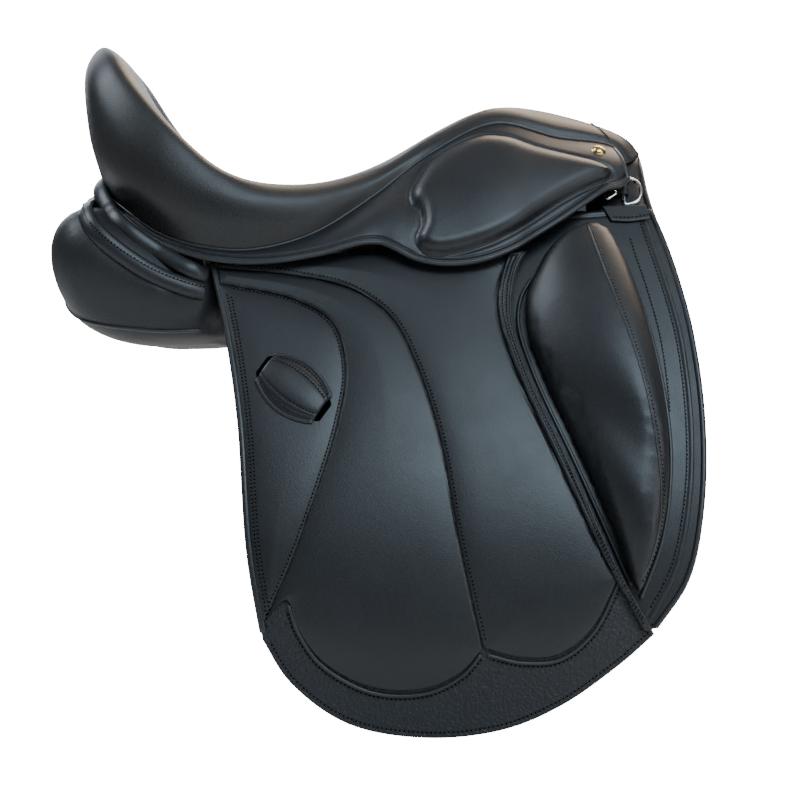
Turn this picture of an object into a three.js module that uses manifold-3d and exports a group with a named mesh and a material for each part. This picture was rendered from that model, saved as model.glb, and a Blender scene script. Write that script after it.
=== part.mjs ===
// English saddle, black dressage pattern: tree, seat, flaps, blocks, panels and fittings.
// Millimetres. +X points to the pommel (the horse's head), +Y to the horse's left, +Z up.
// The origin is where the midline of the saddle meets the level of the panels' bearing.
import * as THREE from 'three';
import { mergeVertices } from 'three/addons/utils/BufferGeometryUtils.js';
import Module from 'manifold-3d';

const wasm = await Module();
wasm.setup();

// ---------------------------------------------------------------- driving dimensions
const LEATHER = 2;               // seat leather
const FOAM = 7;                  // foam between the seat leather and the tree
const GAP = 0.4;                 // clearance between neighbours that touch
const HINGE_HEIGHT = 52;         // top edge of the outer flap, where it bends when lifted
const BARREL_TOP_Y = 100;        // half width of the saddle's side at BARREL_TOP_Z
const BARREL_TOP_Z = 80;
const BARREL_BULGE = 132;        // how much wider the flaps hang lower down
const BARREL_DROP = 330;         // height over which they widen
const BARREL_BOW = 0.0003;       // how much the flaps curve in towards their front and rear
const BARREL_MIDDLE_X = 40;

// Layers of the saddle's side, as [inner, outer] distance from the barrel surface
const SWEAT_FLAP = [-8.4, -5.6];
const UNDER_FLAP = [-4.8, -1.2];
const BILLET = [0.2, 2.8];
const FLAP = [8.2, 10];
const FLAP_PANEL = [11, 13];
const FLAP_BORDER = [13.8, 15.4];
const KEEPER = [13.8, 15.8];

const TREE_THICK = 9;            // laminated wood
const PLATE_THICK = 3.5;         // steel gullet plate
const BILLET_WIDE = 28;
const STRAP_FLAT_END_Z = -182;   // the strap is flat from -130 down to here
const BILLET_END_Z = -190;
const DEGREE = Math.PI / 180;

// ---------------------------------------------------------------- materials
const coat = (color, roughness, metalness = 0) =>
  new THREE.MeshStandardMaterial({ color, roughness, metalness });
const looks = {
  leather: coat(0x17181b, 0.42),
  grain: coat(0x141519, 0.7),
  lining: coat(0x1a1a1c, 0.6),
  foam: coat(0xd8c9a4, 0.9),
  wood: coat(0x2b2420, 0.4),
  webbing: coat(0x1c1c1e, 0.9),
  steel: coat(0x9a9da1, 0.4, 0.9),
  chrome: coat(0xd0d3d6, 0.15, 1),
  brass: coat(0xc9a24b, 0.25, 1),
};

// ---------------------------------------------------------------- small helpers
const P = (x, y, z) => new THREE.Vector3(x, y, z);
const mix = (a, b, t) => a.clone().lerp(b, t);
const steps = (n) => Array.from({ length: n + 1 }, (_, i) => i / n);
const spline = (points) => new THREE.CatmullRomCurve3(points, false, 'centripetal');
const outline = (pairs) => spline(pairs.map(([x, z]) => P(x, 0, z)));
const mid = ([ax, az], [bx, bz]) => [(ax + bx) / 2, (az + bz) / 2];
const shortEdge = (a, b) => outline([a, mid(a, b), b]);
const shifted = (pairs, dx, dz) => pairs.map(([x, z]) => [x + dx, z + dz]);

const saddle = new THREE.Group();

function add(name, geometry, material) {
  const mesh = new THREE.Mesh(geometry, material);
  mesh.name = name;
  saddle.add(mesh);
}

// The right-hand twin is the left-hand geometry mirrored in the XZ plane
function mirrored(geometry) {
  const twin = geometry.clone().scale(1, -1, 1);
  const index = twin.index.array;
  for (let i = 0; i < index.length; i += 3) {
    [index[i], index[i + 1]] = [index[i + 1], index[i]];
  }
  return twin;
}

function addPair(name, geometry, material) {
  add(`${name}_left`, geometry, material);
  add(`${name}_right`, mirrored(geometry), material);
}

function volume(points, index) {
  let sum = 0;
  for (let i = 0; i < index.length; i += 3) {
    const [a, b, c] = [points[index[i]], points[index[i + 1]], points[index[i + 2]]];
    sum += a.dot(b.clone().cross(c));
  }
  return sum;
}

// A closed geometry from points and triangles, turned so that its faces point out
function closedGeometry(points, index) {
  if (volume(points, index) < 0) {
    for (let i = 0; i < index.length; i += 3) {
      [index[i], index[i + 1]] = [index[i + 1], index[i]];
    }
  }
  const raw = new THREE.BufferGeometry().setFromPoints(points);
  raw.setIndex(index);
  const merged = mergeVertices(raw, 1e-4);
  const kept = [];
  const all = merged.index.array;
  for (let i = 0; i < all.length; i += 3) {
    const [a, b, c] = [all[i], all[i + 1], all[i + 2]];
    if (a !== b && b !== c && c !== a) kept.push(a, b, c);
  }
  merged.setIndex(kept);
  return merged;
}

// A sheet between two grids of points. With zipped, its first row closes on itself.
function sheetBetween(outer, inner, zipped = false) {
  const rows = outer.length;
  const cols = outer[0].length;
  const points = [...outer.flat(), ...inner.flat()];
  const at = (side, i, j) => side * rows * cols + i * cols + j;
  const index = [];
  const quad = (a, b, c, d) => index.push(a, b, c, a, c, d);
  for (let i = 0; i < rows - 1; i += 1) {
    for (let j = 0; j < cols - 1; j += 1) {
      quad(at(0, i, j), at(0, i, j + 1), at(0, i + 1, j + 1), at(0, i + 1, j));
      quad(at(1, i, j), at(1, i + 1, j), at(1, i + 1, j + 1), at(1, i, j + 1));
    }
  }
  for (let j = 0; j < cols - 1; j += 1) {
    if (!zipped) quad(at(0, 0, j), at(1, 0, j), at(1, 0, j + 1), at(0, 0, j + 1));
    const last = rows - 1;
    quad(at(0, last, j), at(0, last, j + 1), at(1, last, j + 1), at(1, last, j));
  }
  for (let i = 0; i < rows - 1; i += 1) {
    const last = cols - 1;
    quad(at(0, i, 0), at(0, i + 1, 0), at(1, i + 1, 0), at(1, i, 0));
    quad(at(0, i, last), at(1, i, last), at(1, i + 1, last), at(0, i + 1, last));
  }
  return closedGeometry(points, index);
}

// A solid through rings of points. Open lofts get flat ends; closed ones join up.
function loft(rings, closed = false) {
  const n = rings[0].length;
  const points = rings.flat();
  const index = [];
  const spans = closed ? rings.length : rings.length - 1;
  for (let i = 0; i < spans; i += 1) {
    const next = (i + 1) % rings.length;
    for (let j = 0; j < n; j += 1) {
      const k = (j + 1) % n;
      const [a, b, c, d] = [i * n + j, i * n + k, next * n + k, next * n + j];
      index.push(a, b, c, a, c, d);
    }
  }
  if (!closed) {
    const centre = (ring) => ring.reduce((sum, p) => sum.add(p), P(0, 0, 0)).divideScalar(n);
    const first = points.push(centre(rings[0])) - 1;
    const last = points.push(centre(rings.at(-1))) - 1;
    const base = (rings.length - 1) * n;
    for (let j = 0; j < n; j += 1) {
      const k = (j + 1) % n;
      index.push(first, k, j);
      index.push(last, base + j, base + k);
    }
  }
  return closedGeometry(points, index);
}

// A rectangular section about a centre: half extents a along wide, from low to high along up
const slat = (centre, wide, up, a, low, high) => [
  centre.clone().addScaledVector(wide, -a).addScaledVector(up, low),
  centre.clone().addScaledVector(wide, a).addScaledVector(up, low),
  centre.clone().addScaledVector(wide, a).addScaledVector(up, high),
  centre.clone().addScaledVector(wide, -a).addScaledVector(up, high),
];

const disc = (centre, u, v, radius, sides) => steps(sides).slice(0, -1).map((t) =>
  centre.clone()
    .addScaledVector(u, radius * Math.cos(2 * Math.PI * t))
    .addScaledVector(v, radius * Math.sin(2 * Math.PI * t)));

// Joins and cuts with manifold-3d
function solidOf(geometry) {
  const bare = new THREE.BufferGeometry();
  bare.setAttribute('position', geometry.attributes.position.clone());
  if (geometry.index) bare.setIndex(geometry.index.clone());
  const merged = mergeVertices(bare, 1e-4);
  return new wasm.Manifold(new wasm.Mesh({
    numProp: 3,
    vertProperties: new Float32Array(merged.attributes.position.array),
    triVerts: new Uint32Array(merged.index.array),
  }));
}

function geometryOf(solid) {
  const mesh = solid.getMesh();
  const geometry = new THREE.BufferGeometry();
  geometry.setAttribute('position', new THREE.BufferAttribute(mesh.vertProperties, 3));
  geometry.setIndex(new THREE.BufferAttribute(mesh.triVerts, 1));
  return geometry;
}

const joined = (...parts) =>
  geometryOf(parts.map(solidOf).reduce((whole, part) => whole.add(part)));
const cut = (body, ...tools) =>
  geometryOf(tools.map(solidOf).reduce((whole, tool) => whole.subtract(tool), solidOf(body)));

// ---------------------------------------------------------------- the barrel surface
// Half width of the saddle's side over the horse's barrel, as a function of x and z
function barrelY(x, z) {
  const t = Math.min(1, (BARREL_TOP_Z - z) / BARREL_DROP);
  const bow = BARREL_BOW * (x - BARREL_MIDDLE_X) ** 2 * Math.max(0, t);
  return BARREL_TOP_Y + BARREL_BULGE * Math.sin((Math.PI / 2) * t) - bow;
}

function barrelNormal(x, z) {
  const h = 0.5;
  const dx = (barrelY(x + h, z) - barrelY(x - h, z)) / (2 * h);
  const dz = (barrelY(x, z + h) - barrelY(x, z - h)) / (2 * h);
  return P(-dx, 1, -dz).normalize();
}

const onBarrel = (x, z, d) => P(x, barrelY(x, z), z).addScaledVector(barrelNormal(x, z), d);

// A four-sided patch in x and z: rear and front run downwards, top and bottom forwards
function coons({ top, bottom, rear, front }, u, v) {
  const [t, b] = [top.getPointAt(u), bottom.getPointAt(u)];
  const [r, f] = [rear.getPointAt(v), front.getPointAt(v)];
  const corner = (curve, end) => curve.getPointAt(end);
  const ruled = mix(t, b, v).add(mix(r, f, u));
  const flat = mix(
    mix(corner(top, 0), corner(top, 1), u),
    mix(corner(bottom, 0), corner(bottom, 1), u),
    v,
  );
  return ruled.sub(flat);
}

const barrelGrid = (edges, nu, nv, depth) => steps(nv).map((v) => steps(nu).map((u) => {
  const p = coons(edges, u, v);
  return onBarrel(p.x, p.z, typeof depth === 'function' ? depth(u, v) : depth);
}));

const barrelSheet = (edges, nu, nv, [inner, outer]) =>
  sheetBetween(barrelGrid(edges, nu, nv, outer), barrelGrid(edges, nu, nv, inner));

// ---------------------------------------------------------------- outlines, as [x, z]
const FLAP_TOP_REAR = [-136, HINGE_HEIGHT];
const FLAP_TOP_FRONT = [121, HINGE_HEIGHT];
const FLAP_REAR_CORNER = [-87, -234];
const FLAP_TOE = [212, -230];
const flapEdges = {
  top: outline([FLAP_TOP_REAR, [0, HINGE_HEIGHT], FLAP_TOP_FRONT]),
  rear: outline([FLAP_TOP_REAR, [-122, 0], [-109, -70], [-99, -170], FLAP_REAR_CORNER]),
  bottom: outline([FLAP_REAR_CORNER, [-66, -266], [-23, -297], [36, -308], [96, -302],
    [140, -284], [181, -256], FLAP_TOE]),
  front: outline([FLAP_TOP_FRONT, [111, 34], [109, 10], [120, -30], [152, -103], [186, -182],
    FLAP_TOE]),
};

// Seams that divide the smooth upper leather of the flap into three
const SEAM_A = [[-120, 31], [-66, 24], [-36, 5], [-25, -30], [-30, -70], [-48, -130],
  [-66, -178], [-84, -218]];
const SEAM_B = [[-121, 42], [-66, 43], [-22, 32], [10, 9], [31, -31], [48, -84], [62, -160],
  [80, -240]];
const EDGE_REAR = [[-119, 27], [-112, -20], [-103, -80], [-96, -150], [-88, -213]];
const EDGE_FRONT = [[-120, 47], [20, 47], [89, 45], [93, 18], [107, -26], [130, -76],
  [150, -118], [182, -188]];
const HEM_MIDDLE = [[-81, -221], [-66, -207], [-58, -228], [-40, -252], [-2, -272],
  [38, -272], [64, -259], [78, -243]];
const HEM_FRONT = [[84, -243], [110, -249], [138, -247], [163, -228], [184, -190]];

// ---------------------------------------------------------------- seat surface
// Guide lines from the cantle's middle forward to the pommel's tip. Each station lists
// the welt line, the flank, the rim, the dish and the centre line.
const SEAT = [
  [[-238, 0, 136], [-252, 0, 195], [-242, 0, 254], [-214, 0, 212], [-158, 0, 138]],
  [[-231, 56, 124], [-245, 64, 185], [-234, 54, 242], [-202, 46, 192], [-138, 0, 132]],
  [[-212, 94, 108], [-226, 106, 160], [-211, 95, 212], [-178, 68, 162], [-118, 0, 128]],
  [[-180, 116, 86], [-192, 130, 128], [-176, 120, 171], [-148, 80, 139], [-98, 0, 126]],
  [[-146, 128, 75], [-150, 139, 106], [-138, 129, 144], [-116, 82, 128], [-78, 0, 126]],
  [[-104, 130, 72], [-105, 138, 98], [-98, 125, 128], [-84, 80, 124], [-54, 0, 130]],
  [[-56, 119, 85], [-55, 122, 105], [-52, 106, 127], [-42, 66, 131], [-24, 0, 139]],
  [[-8, 96, 116], [-5, 93, 129], [-2, 78, 142], [4, 46, 149], [12, 0, 155]],
  [[44, 72, 157], [45, 67, 165], [47, 54, 173], [49, 30, 179], [52, 0, 182]],
  [[98, 58, 183], [98, 53, 190], [98, 42, 196], [99, 24, 201], [100, 0, 203]],
  [[150, 53, 172], [151, 49, 180], [152, 39, 188], [154, 22, 194], [156, 0, 196]],
  [[200, 44, 164], [203, 40, 169], [207, 30, 174], [211, 16, 176], [214, 0, 176]],
];
const SEAT_ROWS = 20;
const SEAT_COLS = 7;
const GUIDES = [0, 1, 2, 3, 4].map((k) => spline(SEAT.map((row) => P(...row[k]))));

function seatAt(s, v) {
  const across = spline(GUIDES.map((guide) => guide.getPoint(s)));
  return across.getPoint(v);
}

function seatNormal(s, v) {
  const h = 0.012;
  const along = seatAt(Math.min(1, s + h), v).sub(seatAt(Math.max(0, s - h), v));
  const side = seatAt(s, Math.min(1, v + h)).sub(seatAt(s, Math.max(0, v - h)));
  const n = side.cross(along).normalize();
  if (v > 0.999) n.y = 0;
  return n.normalize();
}

// On the first row the surface crosses the midline, so its normal stays in the XZ plane
function rimNormal(v) {
  const h = 0.012;
  const side = seatAt(0, Math.min(1, v + h)).sub(seatAt(0, Math.max(0, v - h)));
  return side.cross(P(0, 1, 0)).normalize();
}

function seatPoint(s, v, depth) {
  const n = s < 1e-6 ? rimNormal(v) : seatNormal(s, v);
  return seatAt(s, v).addScaledVector(n, -depth);
}

function seatGrid(depth) {
  return steps(SEAT_ROWS).map((s) => {
    const left = steps(SEAT_COLS).map((v) => {
      const p = seatPoint(s, v, depth);
      if (s === 0 || v === 1) p.y = 0;
      return p;
    });
    const right = left.slice(0, -1).reverse().map((p) => P(p.x, -p.y, p.z));
    return [...left, ...right];
  });
}

const weltLine = (s) => seatAt(s, 0);
const weltDown = (s) => seatAt(s, 0).sub(seatAt(s, 0.06)).normalize();

// ---------------------------------------------------------------- tree
// Half ring of the tree from the head to the cantle: centre, then direction of its width
const RING = [
  [[152, 0, 160], [1, 0, 0]],
  [[140, 26, 158], [0.7, 0.7, 0]],
  [[100, 38, 160], [0, 1, 0]],
  [[50, 44, 134], [0, 1, -0.2]],
  [[0, 62, 106], [0, 1, -0.1]],
  [[-50, 78, 96], [0, 1, 0]],
  [[-100, 88, 92], [0, 1, 0]],
  [[-150, 86, 100], [0, 1, 0.2]],
  [[-190, 70, 122], [-0.2, 0.8, 0.6]],
  [[-214, 42, 158], [-0.3, 0.4, 0.9]],
  [[-226, 0, 186], [-0.25, 0, 1]],
];

const RING_STEPS = 16;

function ringFrame(t) {
  const line = spline(RING.map(([c]) => P(...c)));
  const side = spline(RING.map(([, w]) => P(...w)));
  const wide = side.getPoint(t);
  const tangent = line.getTangent(t);
  if (t === 0 || t === 1) tangent.set(0, 1, 0);
  wide.addScaledVector(tangent, -wide.dot(tangent)).normalize();
  const up = wide.clone().cross(tangent).normalize();
  return { centre: line.getPoint(t), wide, up };
}

// Head arch: mid line of the tree's head and points, from the midline out and down
const ARCH = spline([P(168, 0, 156), P(167, 28, 148), P(164, 54, 122), P(160, 74, 94),
  P(156, 89, 66)]);

function archFrame(t) {
  const tangent = ARCH.getTangent(t);
  if (t === 0) tangent.set(0, 1, 0);
  const wide = P(1, 0, 0);
  wide.addScaledVector(tangent, -wide.dot(tangent)).normalize();
  const up = wide.clone().cross(tangent).normalize();
  return { centre: ARCH.getPoint(t), wide, up };
}

const archSlat = (t, a, low, high) => {
  const f = archFrame(t);
  return slat(f.centre, f.wide, f.up, a, low, high);
};
const overMidline = (rings) => [
  ...rings.slice(1).reverse().map((ring) => ring.map((p) => P(p.x, -p.y, p.z))),
  ...rings,
];

function treeFrame() {
  const half = steps(RING_STEPS).map((t) => {
    const f = ringFrame(t);
    const low = -TREE_THICK / 2;
    return slat(f.centre, f.wide, f.up, 16, low, -low);
  });
  const other = half.slice(1, -1).reverse().map((ring) => ring.map((p) => P(p.x, -p.y, p.z)));
  const ring = loft([...half, ...other], true);
  const arch = loft(overMidline(steps(10).map((t) =>
    archSlat(t, 15 - 3 * t, -TREE_THICK / 2, TREE_THICK / 2))));
  return joined(ring, arch);
}

// Steel plate under the head, inside the arch
function headPlate() {
  const top = -TREE_THICK / 2 - GAP;
  const rings = steps(9).map((t) => archSlat(0.9 * t, 10, top - PLATE_THICK, top));
  return loft(overMidline(rings));
}

// Tempered steel strip along the top of each side rail
function springStrip() {
  const low = TREE_THICK / 2 + 2;
  const rings = steps(RING_STEPS).slice(3, 14).map((t) => {
    const f = ringFrame(t);
    return slat(f.centre, f.wide, f.up, 6, low, low + 1.4);
  });
  return loft(rings);
}

// ---------------------------------------------------------------- stirrup bar
const BAR_Z = 110;
const BAR_TAIL_X = 94;           // hinge of the safety catch
const BAR_NOSE_X = 156;
const BAR_Y = 87;                // middle of the bar that carries the stirrup leather
const BAR_THICK = 6;
const BAR_HIGH = 9;
const PLATE_INNER_Y = 72;
const PLATE_OUTER_Y = 76.5;
const PIN_RADIUS = 1.6;

// A block between two corners
function block([x0, y0, z0], [x1, y1, z1]) {
  return new THREE.BoxGeometry(x1 - x0, y1 - y0, z1 - z0)
    .translate((x0 + x1) / 2, (y0 + y1) / 2, (z0 + z1) / 2);
}

// Forged plate on the tree's point, a nose that steps out, and the bar running back
function stirrupBar() {
  const low = BAR_Z - BAR_HIGH / 2;
  const high = BAR_Z + BAR_HIGH / 2;
  const inner = BAR_Y - BAR_THICK / 2;
  const outer = BAR_Y + BAR_THICK / 2;
  const plate = block([108, PLATE_INNER_Y, low + 1], [173, PLATE_OUTER_Y, high + 4]);
  const nose = block([BAR_NOSE_X - 8, PLATE_INNER_Y, low], [BAR_NOSE_X, outer, high + 3]);
  const bar = block([BAR_TAIL_X + 6, inner, low], [BAR_NOSE_X - 4, outer, high]);
  const lug = block([BAR_TAIL_X - 5, inner, low], [BAR_TAIL_X + 10, BAR_Y, high]);
  const hole = new THREE.CylinderGeometry(PIN_RADIUS + 0.4, PIN_RADIUS + 0.4, 30, 12)
    .translate(BAR_TAIL_X, BAR_Y, BAR_Z);
  return cut(joined(plate, nose, bar, lug), hole);
}

function barCatch() {
  const shape = new THREE.Shape();
  shape.absarc(0, 0, 4.5, -Math.PI / 2, Math.PI / 2, false);
  shape.lineTo(-14, 4.5);
  shape.quadraticCurveTo(-22, 4, -22, -1);
  shape.quadraticCurveTo(-21, -4.5, -16, -4.5);
  shape.closePath();
  const hole = new THREE.Path();
  hole.absarc(0, 0, PIN_RADIUS + 0.4, 0, 2 * Math.PI, true);
  shape.holes.push(hole);
  const thick = 3;
  const flat = new THREE.ExtrudeGeometry(shape, {
    depth: thick,
    bevelEnabled: false,
    curveSegments: 6,
  });
  flat.rotateX(Math.PI / 2);
  flat.translate(BAR_TAIL_X, BAR_Y + GAP + thick, BAR_Z);
  return geometryOf(solidOf(flat));
}

function catchPin() {
  const profile = [[0, 0], [PIN_RADIUS, 0], [PIN_RADIUS, 6.9], [2.8, 6.9], [2.4, 8], [0, 8]];
  const pin = new THREE.LatheGeometry(profile.map(([r, h]) => new THREE.Vector2(r, h)), 10);
  pin.translate(BAR_TAIL_X, BAR_Y - BAR_THICK / 2, BAR_Z);
  return geometryOf(solidOf(pin));
}

// Rivet head that holds the bar's plate to the tree
function barRivet() {
  const profile = [[0, 0], [3.5, 0], [3.2, 1.4], [1.8, 2.3], [0, 2.5]];
  const head = new THREE.LatheGeometry(profile.map(([r, h]) => new THREE.Vector2(r, h)), 10);
  head.translate(165, PLATE_OUTER_Y + GAP, BAR_Z + 2);
  return geometryOf(solidOf(head));
}

// ---------------------------------------------------------------- girth straps and webs
const STRAPS = [['front', 58], ['rear', -14]];

// Way of each web over the tree, as [y, z] from the midline out
const FRONT_WEB = [[0, 157.5], [40, 158], [62, 150], [71, 128], [86, 102]];
const REAR_WEB = [[0, 121], [40, 121], [80, 116], [92, 103], [100, 88]];

function girthStrap(x) {
  const levels = [56, 30, 0, -35, -70, -100, -130, STRAP_FLAT_END_Z, BILLET_END_Z];
  const rings = levels.map((z) => {
    const half = z === BILLET_END_Z ? 7 : BILLET_WIDE / 2;
    const up = barrelNormal(x, z).setX(0).normalize();
    return slat(P(x, barrelY(x, z), z), P(1, 0, 0), up, half, BILLET[0], BILLET[1]);
  });
  return loft(rings);
}

// Webbing from one girth strap up over the tree to the other side
function girthWeb(x, over) {
  const down = [onBarrel(x, 76, 3), onBarrel(x, 61, 3)];
  const line = spline([...over.map(([y, z]) => P(x, y, z)), ...down]);
  const rings = steps(12).map((t) => {
    const tangent = t === 0 ? P(0, 1, 0) : line.getTangent(t);
    const up = P(1, 0, 0).cross(tangent).normalize();
    return slat(line.getPoint(t), P(1, 0, 0), up, 12, -0.8, 0.8);
  });
  return loft(overMidline(rings));
}

// Web stretched along the middle of the tree, from head to cantle, that the foam rests on
function seatWeb() {
  const line = spline([P(128, 0, 176), P(80, 0, 181), P(40, 0, 157), P(10, 0, 138),
    P(-24, 0, 126), P(-54, 0, 118), P(-78, 0, 114), P(-110, 0, 114), P(-140, 0, 119),
    P(-172, 0, 131), P(-206, 0, 166)]);
  const rings = steps(18).map((t) => {
    const up = P(0, 1, 0).cross(line.getTangent(t)).negate().normalize();
    return slat(line.getPoint(t), P(0, 1, 0), up, 14 + 16 * Math.sin(Math.PI * t) ** 2, -0.8, 0.8);
  });
  return loft(rings);
}

// ---------------------------------------------------------------- seat and skirts
function seatCover() {
  return sheetBetween(seatGrid(0), seatGrid(LEATHER), true);
}

function seatFoam() {
  return sheetBetween(seatGrid(LEATHER + GAP), seatGrid(LEATHER + GAP + FOAM), true);
}

const SKIRT_REAR_ROW = 4;        // row of the seat's grid where the skirt and its welt begin

function seatWelt() {
  const rings = steps(SEAT_ROWS).slice(SKIRT_REAR_ROW).map((t) => {
    const s = Math.min(t, 0.995);
    const tangent = weltLine(s + 0.005).sub(weltLine(s - 0.01)).normalize();
    const out = seatNormal(s, 0.02);
    const centre = weltLine(s).addScaledVector(weltDown(s), 3.2);
    const u = out.addScaledVector(tangent, -out.dot(tangent)).normalize();
    return disc(centre, u, tangent.clone().cross(u), 2, 6);
  });
  return loft(rings);
}

// Lower edge of the skirt, from its rear tip to the tip by the nail
const SKIRT_HEM = spline([P(-214, 97, 101), P(-194, 114, 85), P(-172, 126, 74), P(-143, 134, 65),
  P(-111, 137, 61), P(-82, 138, 62), P(-47, 136, 68), P(-13, 133, 77), P(2, 132, 77),
  P(14, 135, 72), P(30, 138, 64), P(48, 140, 60), P(67, 140, 60), P(88, 138, 64),
  P(110, 131, 73), P(128, 120, 84), P(147, 110, 96), P(173, 95, 114), P(190, 84, 125),
  P(210, 70, 138)]);
const SKIRT_THICK = 3;
const SKIRT_TOP_X = [-210, 198];
const SKIRT_HEM_X = [-213, 209];

// The point of a curve with that x, where x grows along it
function atX(curve, x, from = 0) {
  let [low, high] = [from, 1];
  for (let i = 0; i < 24; i += 1) {
    const half = (low + high) / 2;
    if (curve(half).x < x) low = half;
    else high = half;
  }
  return (low + high) / 2;
}

// A point of the skirt before its thickness: u runs forward, v from the welt down to the hem
function skirtMiddle(u, v) {
  const s = atX(weltLine, SKIRT_TOP_X[0] + (SKIRT_TOP_X[1] - SKIRT_TOP_X[0]) * u, 0.1);
  const hemCurve = (t) => SKIRT_HEM.getPoint(t);
  const h = atX(hemCurve, SKIRT_HEM_X[0] + (SKIRT_HEM_X[1] - SKIRT_HEM_X[0]) * u);
  const top = weltLine(s).addScaledVector(weltDown(s), 7);
  const hem = hemCurve(h);
  const swell = 7 * Math.sin(Math.PI * v) * Math.min(1, top.distanceTo(hem) / 60);
  return mix(top, hem, v).addScaledVector(P(0.1, 0.75, 0.6), swell);
}

function skirtNormal(u, v) {
  const h = 0.01;
  const along = skirtMiddle(Math.min(1, u + h), v).sub(skirtMiddle(Math.max(0, u - h), v));
  const down = skirtMiddle(u, Math.min(1, v + h)).sub(skirtMiddle(u, Math.max(0, v - h)));
  const out = down.cross(along).normalize();
  return out.y < 0 ? out.negate() : out;
}

const skirtPoint = (u, v, depth) =>
  skirtMiddle(u, v).addScaledVector(skirtNormal(u, v), -depth);

function skirt() {
  const grid = (depth) => steps(3).map((v) => steps(22).map((u) => skirtPoint(u, v, depth)));
  return sheetBetween(grid(0), grid(SKIRT_THICK));
}

// Padded swelling on the skirt over the stirrup bar, shaped like a leaf
function skirtPad() {
  const grid = (rise) => steps(4).map((b) => steps(11).map((a) => {
    const u = 0.585 + 0.35 * a;
    const top = 0.1 + 0.1 * (1 - Math.sin(Math.PI * a));
    const bottom = 0.62 + 0.26 * Math.sin(Math.PI * Math.min(1, 0.2 + a));
    const v = top + (bottom - top) * b;
    const dome = Math.sin(Math.PI * a) * Math.sin(Math.PI * b);
    return skirtPoint(u, v, -0.6 - rise * (1 + 7 * dome));
  }));
  return sheetBetween(grid(1), grid(0));
}

// Rear facing under the seat's edge, round the back of the cantle
function cantleFacing() {
  const end = (SKIRT_REAR_ROW - 0.4) / SEAT_ROWS;
  const grid = (depth) => steps(7).map((t) => {
    const s = end * t;
    const row = steps(2).map((v) => {
      const n = s === 0 ? P(-1, 0, 0) : seatNormal(s, 0.02).setZ(0).normalize();
      const edge = seatPoint(s, 0, 1).addScaledVector(s === 0 ? P(0.2, 0, -1) : weltDown(s), 2.6);
      const fall = P(0, 0, -1).multiplyScalar(18 * v * (1 - 0.6 * t));
      const p = edge.add(fall).addScaledVector(n, -depth - 3 * v);
      if (s === 0) p.y = 0;
      return p;
    });
    return row;
  });
  const both = (depth) => {
    const left = grid(depth);
    const right = left.slice(1).reverse().map((row) => row.map((p) => P(p.x, -p.y, p.z)));
    return [...right, ...left];
  };
  return sheetBetween(both(0), both(2.4));
}

// Leather facing of the pommel's arch
function pommelFacing() {
  const line = spline([P(222, 0, 163), P(225, 28, 146), P(229, 54, 119), P(235, 76, 94)]);
  const rings = steps(8).map((t) => {
    const tangent = t === 0 ? P(0, 1, 0) : line.getTangent(t);
    const back = P(-1, 0, -0.35);
    back.addScaledVector(tangent, -back.dot(tangent)).normalize();
    const up = tangent.clone().cross(back).normalize();
    return slat(line.getPoint(t).addScaledVector(back, 16), back, up, 16, -1.5, 1.5);
  });
  return loft(overMidline(rings));
}

// ---------------------------------------------------------------- flaps
const flap = () => barrelSheet(flapEdges, 10, 12, FLAP);

// Smooth upper leather of the flap, between two long seams
function fanPanel(rear, front, hem) {
  return barrelSheet({
    rear: outline(rear),
    front: outline(front),
    top: shortEdge(rear[0], front[0]),
    bottom: hem ? outline(hem) : shortEdge(rear.at(-1), front.at(-1)),
  }, 3, 13, FLAP_PANEL);
}

// Raised binding along the flap's front edge
function flapBorder() {
  const outer = [[118, 45], [108, 32], [106, 10], [117, -31], [149, -104], [183, -183]];
  const inner = [[98, 45], [98, 32], [97, 12], [108, -28], [140, -101], [176, -178]];
  return barrelSheet({
    rear: outline(inner),
    front: outline(outer),
    top: shortEdge(inner[0], outer[0]),
    bottom: shortEdge(inner.at(-1), outer.at(-1)),
  }, 2, 16, FLAP_BORDER);
}

// Keeper for the stirrup leather: a bridge of leather, sewn along both long sides
const KEEPER_AT = [-66, -48];
const KEEPER_TURN = -36 * DEGREE;
const KEEPER_LONG = 54;
const KEEPER_WIDE = 46;
const KEEPER_RISE = 8;

function keeperLoop() {
  const grid = (rise, lift) => steps(4).map((a) => steps(9).map((b) => {
    const along = (a - 0.5) * (KEEPER_LONG - 10 * Math.sin(Math.PI * b));
    const across = (b - 0.5) * KEEPER_WIDE;
    const x = KEEPER_AT[0] + along * Math.cos(KEEPER_TURN) - across * Math.sin(KEEPER_TURN);
    const z = KEEPER_AT[1] + along * Math.sin(KEEPER_TURN) + across * Math.cos(KEEPER_TURN);
    const hump = Math.min(1, Math.max(0, Math.min(b, 1 - b) / 0.3 - 0.45));
    return onBarrel(x, z, KEEPER[0] + rise + lift * Math.sin((Math.PI / 2) * hump));
  }));
  return sheetBetween(grid(KEEPER[1] - KEEPER[0], KEEPER_RISE), grid(0, KEEPER_RISE));
}

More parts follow.
